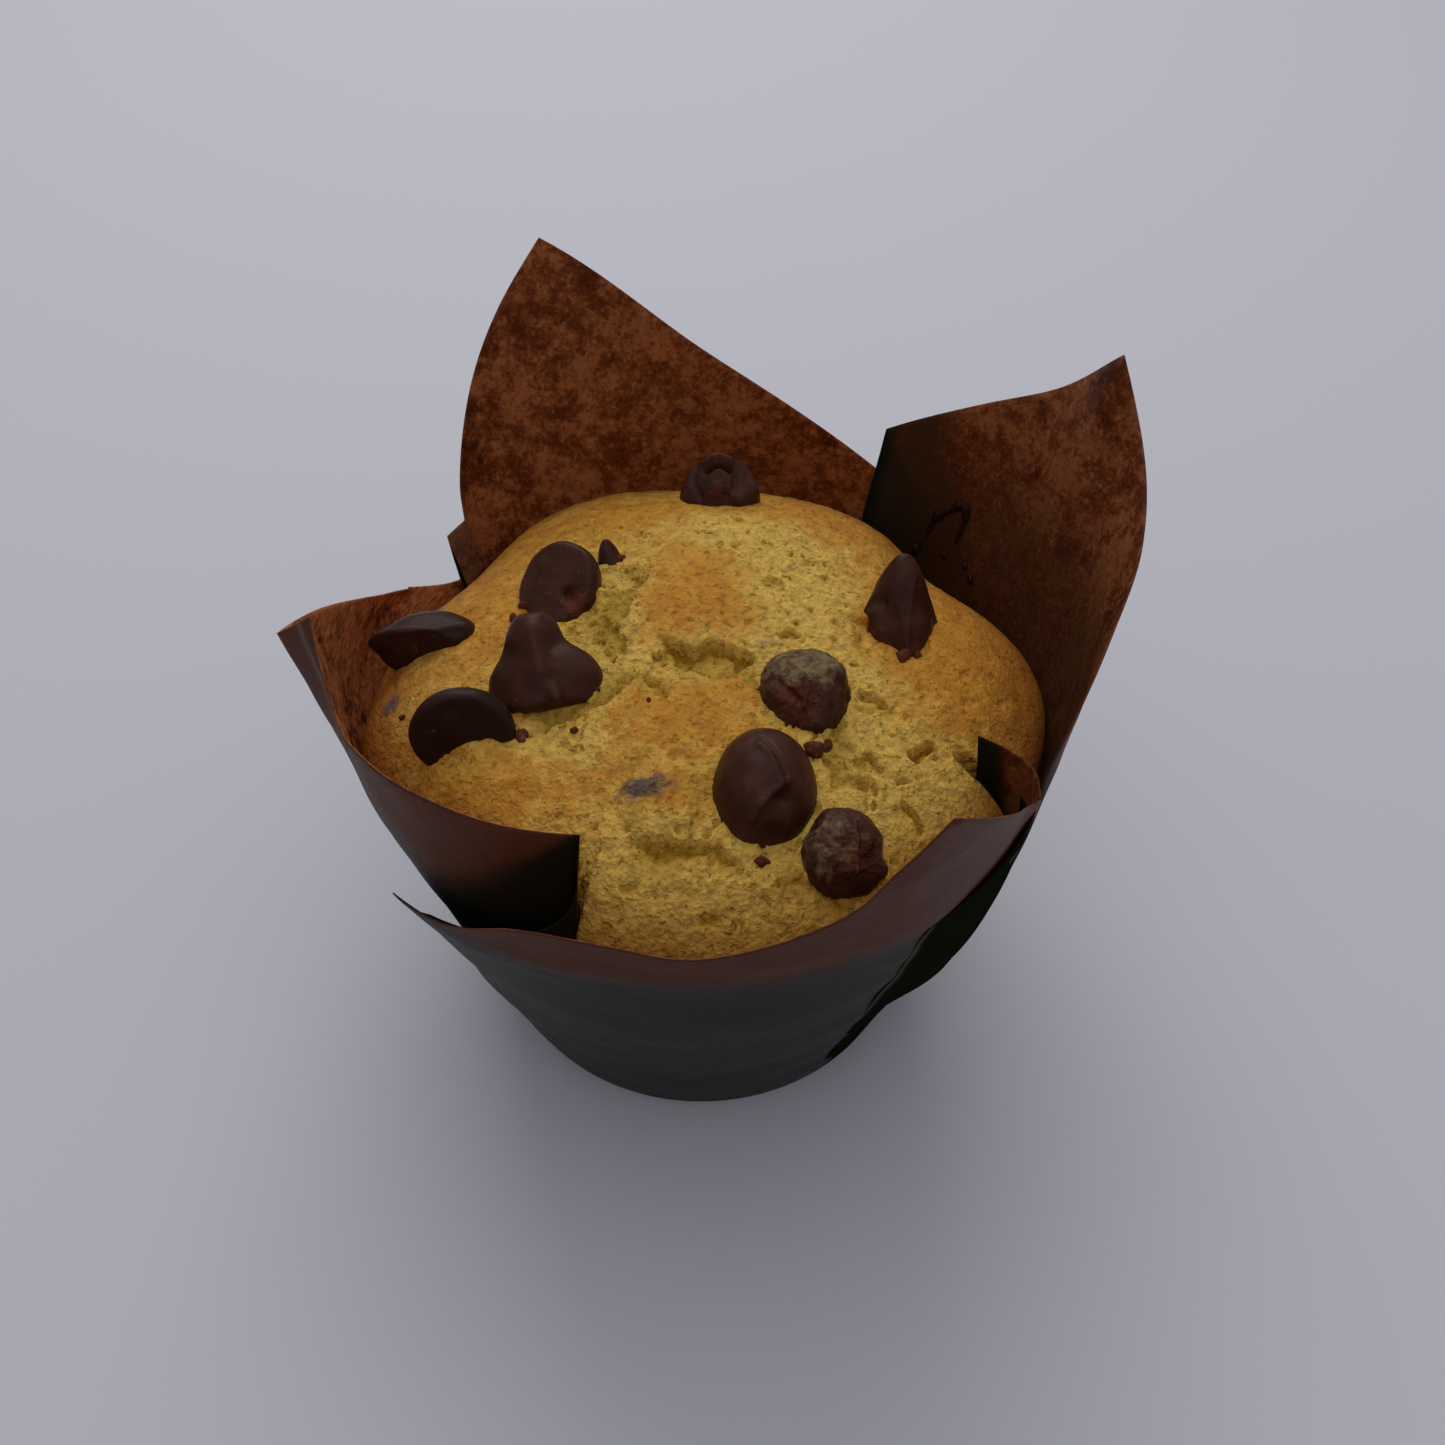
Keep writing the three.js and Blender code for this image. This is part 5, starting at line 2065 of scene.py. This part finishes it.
@dataclass(frozen=True)
class Specks:
    """Small broken bits of chocolate that stick in the crumb.

    Attributes:
        bits: the place of each in plan, and its two widths.
        height: height of a bit, as a share of its smaller width.
        least: what is added to half of every height.
        around: points round a bit.
        rings: rings from its lowest to its highest point.
        uneven: how rough its surface is.
        look: what the finish reads on it.
        seed: seed of the noise.
    """

    bits: tuple[tuple[float, float, float, float], ...] = (
        (-9.2, 11.6, 1.5, 1.0),
        (22.1, -2.6, 1.6, 1.9),
        (23.6, -2.2, 0.9, 0.9),
        (-19.6, 5.0, 1.0, 0.8),
        (-20.4, 2.9, 0.9, 1.3),
        (6.4, -29.6, 1.6, 0.9),
        (-31.4, -8.6, 0.8, 0.6),
        (34.4, -12.0, 0.7, 1.2),
        (-17.9, -14.6, 1.6, 1.8),
        (11.8, -17.4, 2.0, 1.8),
        (13.2, -16.2, 1.3, 1.6),
        (-12.4, -14.6, 0.8, 0.7),
        (-4.9, -11.9, 0.5, 0.7),
        (-10.4, -9.6, 0.7, 0.5),
        (16.2, -34.0, 0.9, 0.7),
    )
    height: float = 0.9
    least: float = 0.15
    around: int = 16
    rings: int = 9
    uneven: float = 0.7
    look: tuple[tuple[str, float], ...] = (("film", 0.1), ("broken", 0.9), ("dark", 0.0))
    seed: int = 31

    def bit(
        self,
        at: tuple[float, float, float, float],
        crumb: Crumb,
        noise: GradientNoise,
    ) -> Surface:
        """One bit, an oval ball with a rough surface, half sunk in the crumb.

        Args:
            at: its place in plan and its two widths.
            crumb: the crumb that it sticks in.
            noise: the noise for its surface.

        Returns:
            The surface, with `film`, `broken` and `dark`.
        """
        x, y, wide, deep = at
        turn = np.linspace(0.0, 2.0 * np.pi, self.around, endpoint=False)[:, None]
        rise = np.linspace(-np.pi / 2.0, np.pi / 2.0, self.rings + 2)[None, :]
        level = np.cos(rise)
        ball = [np.cos(turn) * level, np.sin(turn) * level, np.sin(rise) + 0.0 * turn]
        ball = np.stack(ball, axis=-1)
        tall = self.height * min(wide, deep) / 2.0 + self.least
        size = np.array([wide / 2.0, deep / 2.0, tall])
        middle = np.array([x, y, crumb.top(x, y)])
        uneven = 1.0 + self.uneven * noise.fractal(ball * size + middle, 0.9, 2)
        ball = middle + ball * size * uneven[..., None]
        poles = [ball[:, 0].mean(axis=0), ball[:, -1].mean(axis=0)]
        points = np.concatenate([ball[:, 1:-1].reshape(-1, 3), poles])
        values = {name: np.full(len(points), value) for name, value in self.look}
        return Surface(points, tube_faces(self.around, self.rings), values)

    def build(self, crumb: Crumb, finish: ChocolateFinish) -> bpy.types.Object:
        """Makes all bits as one piece."""
        noise = GradientNoise(self.seed)
        surface = joined([self.bit(bit, crumb, noise) for bit in self.bits])
        piece = surface.build("chocolate_specks", finish.material())
        place(piece, "chocolate")
        return piece


# ---------------------------------------------------------------- stage


@dataclass(frozen=True)
class Lamp:
    """A square lamp that looks at the muffin.

    Attributes:
        name: its name.
        at: where it hangs, in metres.
        size: its side, in metres.
        power: its power, in watts.
    """

    name: str
    at: tuple[float, float, float]
    size: float
    power: float

    def build(self) -> None:
        """Hangs the lamp."""
        light = bpy.data.lights.new(self.name, "AREA")
        light.size = self.size
        light.energy = self.power
        lamp = bpy.data.objects.new(self.name, light)
        lamp.location = self.at
        lamp.rotation_mode = "QUATERNION"
        lamp.rotation_quaternion = (-lamp.location).to_track_quat("-Z", "Y")
        bpy.context.scene.collection.objects.link(lamp)


@dataclass(frozen=True)
class Studio:
    """A pale floor, soft light from above and behind, and the camera.

    Attributes:
        floor_colour: colour of the floor.
        floor_roughness: its roughness.
        floor_half: half the width of the floor, in millimetres.
        room_colour: colour of the even light from all sides.
        room_strength: its strength.
        lamps: the lamps.
        camera_at: where the camera stands, in metres.
        camera_pitch: its turn up from looking straight down, in degrees.
        lens: its focal length, in millimetres.
        sensor: width of its sensor, in millimetres.
        nearest: distance from which it sees, in metres.
    """

    floor_colour: Colour = (0.72, 0.70, 0.76)
    floor_roughness: float = 0.7
    floor_half: float = 3000.0
    room_colour: Colour = (0.86, 0.92, 1.0)
    room_strength: float = 0.27
    lamps: tuple[Lamp, ...] = (
        Lamp("window", (-0.06, 0.50, 0.60), 0.56, 1.85),
        Lamp("ceiling", (0.05, -0.2, 1.3), 1.4, 3.2),
    )
    camera_at: tuple[float, float, float] = (0.002625, -0.118034, 0.157804)
    camera_pitch: float = 45.0
    lens: float = 36.12
    sensor: float = 36.0
    nearest: float = 0.01

    def floor(self) -> None:
        """A wide level plane under the muffin."""
        corners = np.array([(-1.0, -1.0, 0.0), (1.0, -1.0, 0.0), (1.0, 1.0, 0.0), (-1.0, 1.0, 0.0)])
        g = Graph("floor")
        g.feed("Base Color", (*self.floor_colour, 1.0))
        g.feed("Roughness", self.floor_roughness)
        surface = Surface(corners * self.floor_half, [np.array([[0, 1, 2, 3]])])
        plane = surface.build("floor", g.material)

    def world(self) -> None:
        """Even soft light from all sides."""
        world = bpy.data.worlds.new("room")
        world.use_nodes = True
        background = world.node_tree.nodes["Background"]
        background.inputs["Color"].default_value = (*self.room_colour, 1.0)
        background.inputs["Strength"].default_value = self.room_strength
        bpy.context.scene.world = world

    def camera(self) -> None:
        """The camera, above and in front of the muffin, looking at it from half above."""
        data = bpy.data.cameras.new("camera")
        data.lens = self.lens
        data.sensor_width = self.sensor
        data.clip_start = self.nearest
        camera = bpy.data.objects.new("camera", data)
        camera.location = self.camera_at
        camera.rotation_euler = (math.radians(self.camera_pitch), 0.0, 0.0)
        bpy.context.scene.collection.objects.link(camera)
        bpy.context.scene.camera = camera

    def build(self) -> None:
        """Sets the stage."""
        self.floor()
        self.world()
        for lamp in self.lamps:
            lamp.build()
        self.camera()
        bpy.context.scene.view_settings.view_transform = "Standard"


def main() -> None:
    """Builds the stage and the pieces, in order."""
    logging.basicConfig(level=logging.INFO, format="%(name)s: %(message)s")
    Studio().build()
    case = PaperCase()
    case.build(PaperFinish())
    crumb = Crumb(case)
    crumb.build(CrumbFinish())
    ChocolateChips().build(ChocolateFinish("chocolate"))
    Specks().build(crumb, ChocolateFinish("broken_chocolate"))
    Smears().build(case, MELTED)


if __name__ == "__main__":
    main()
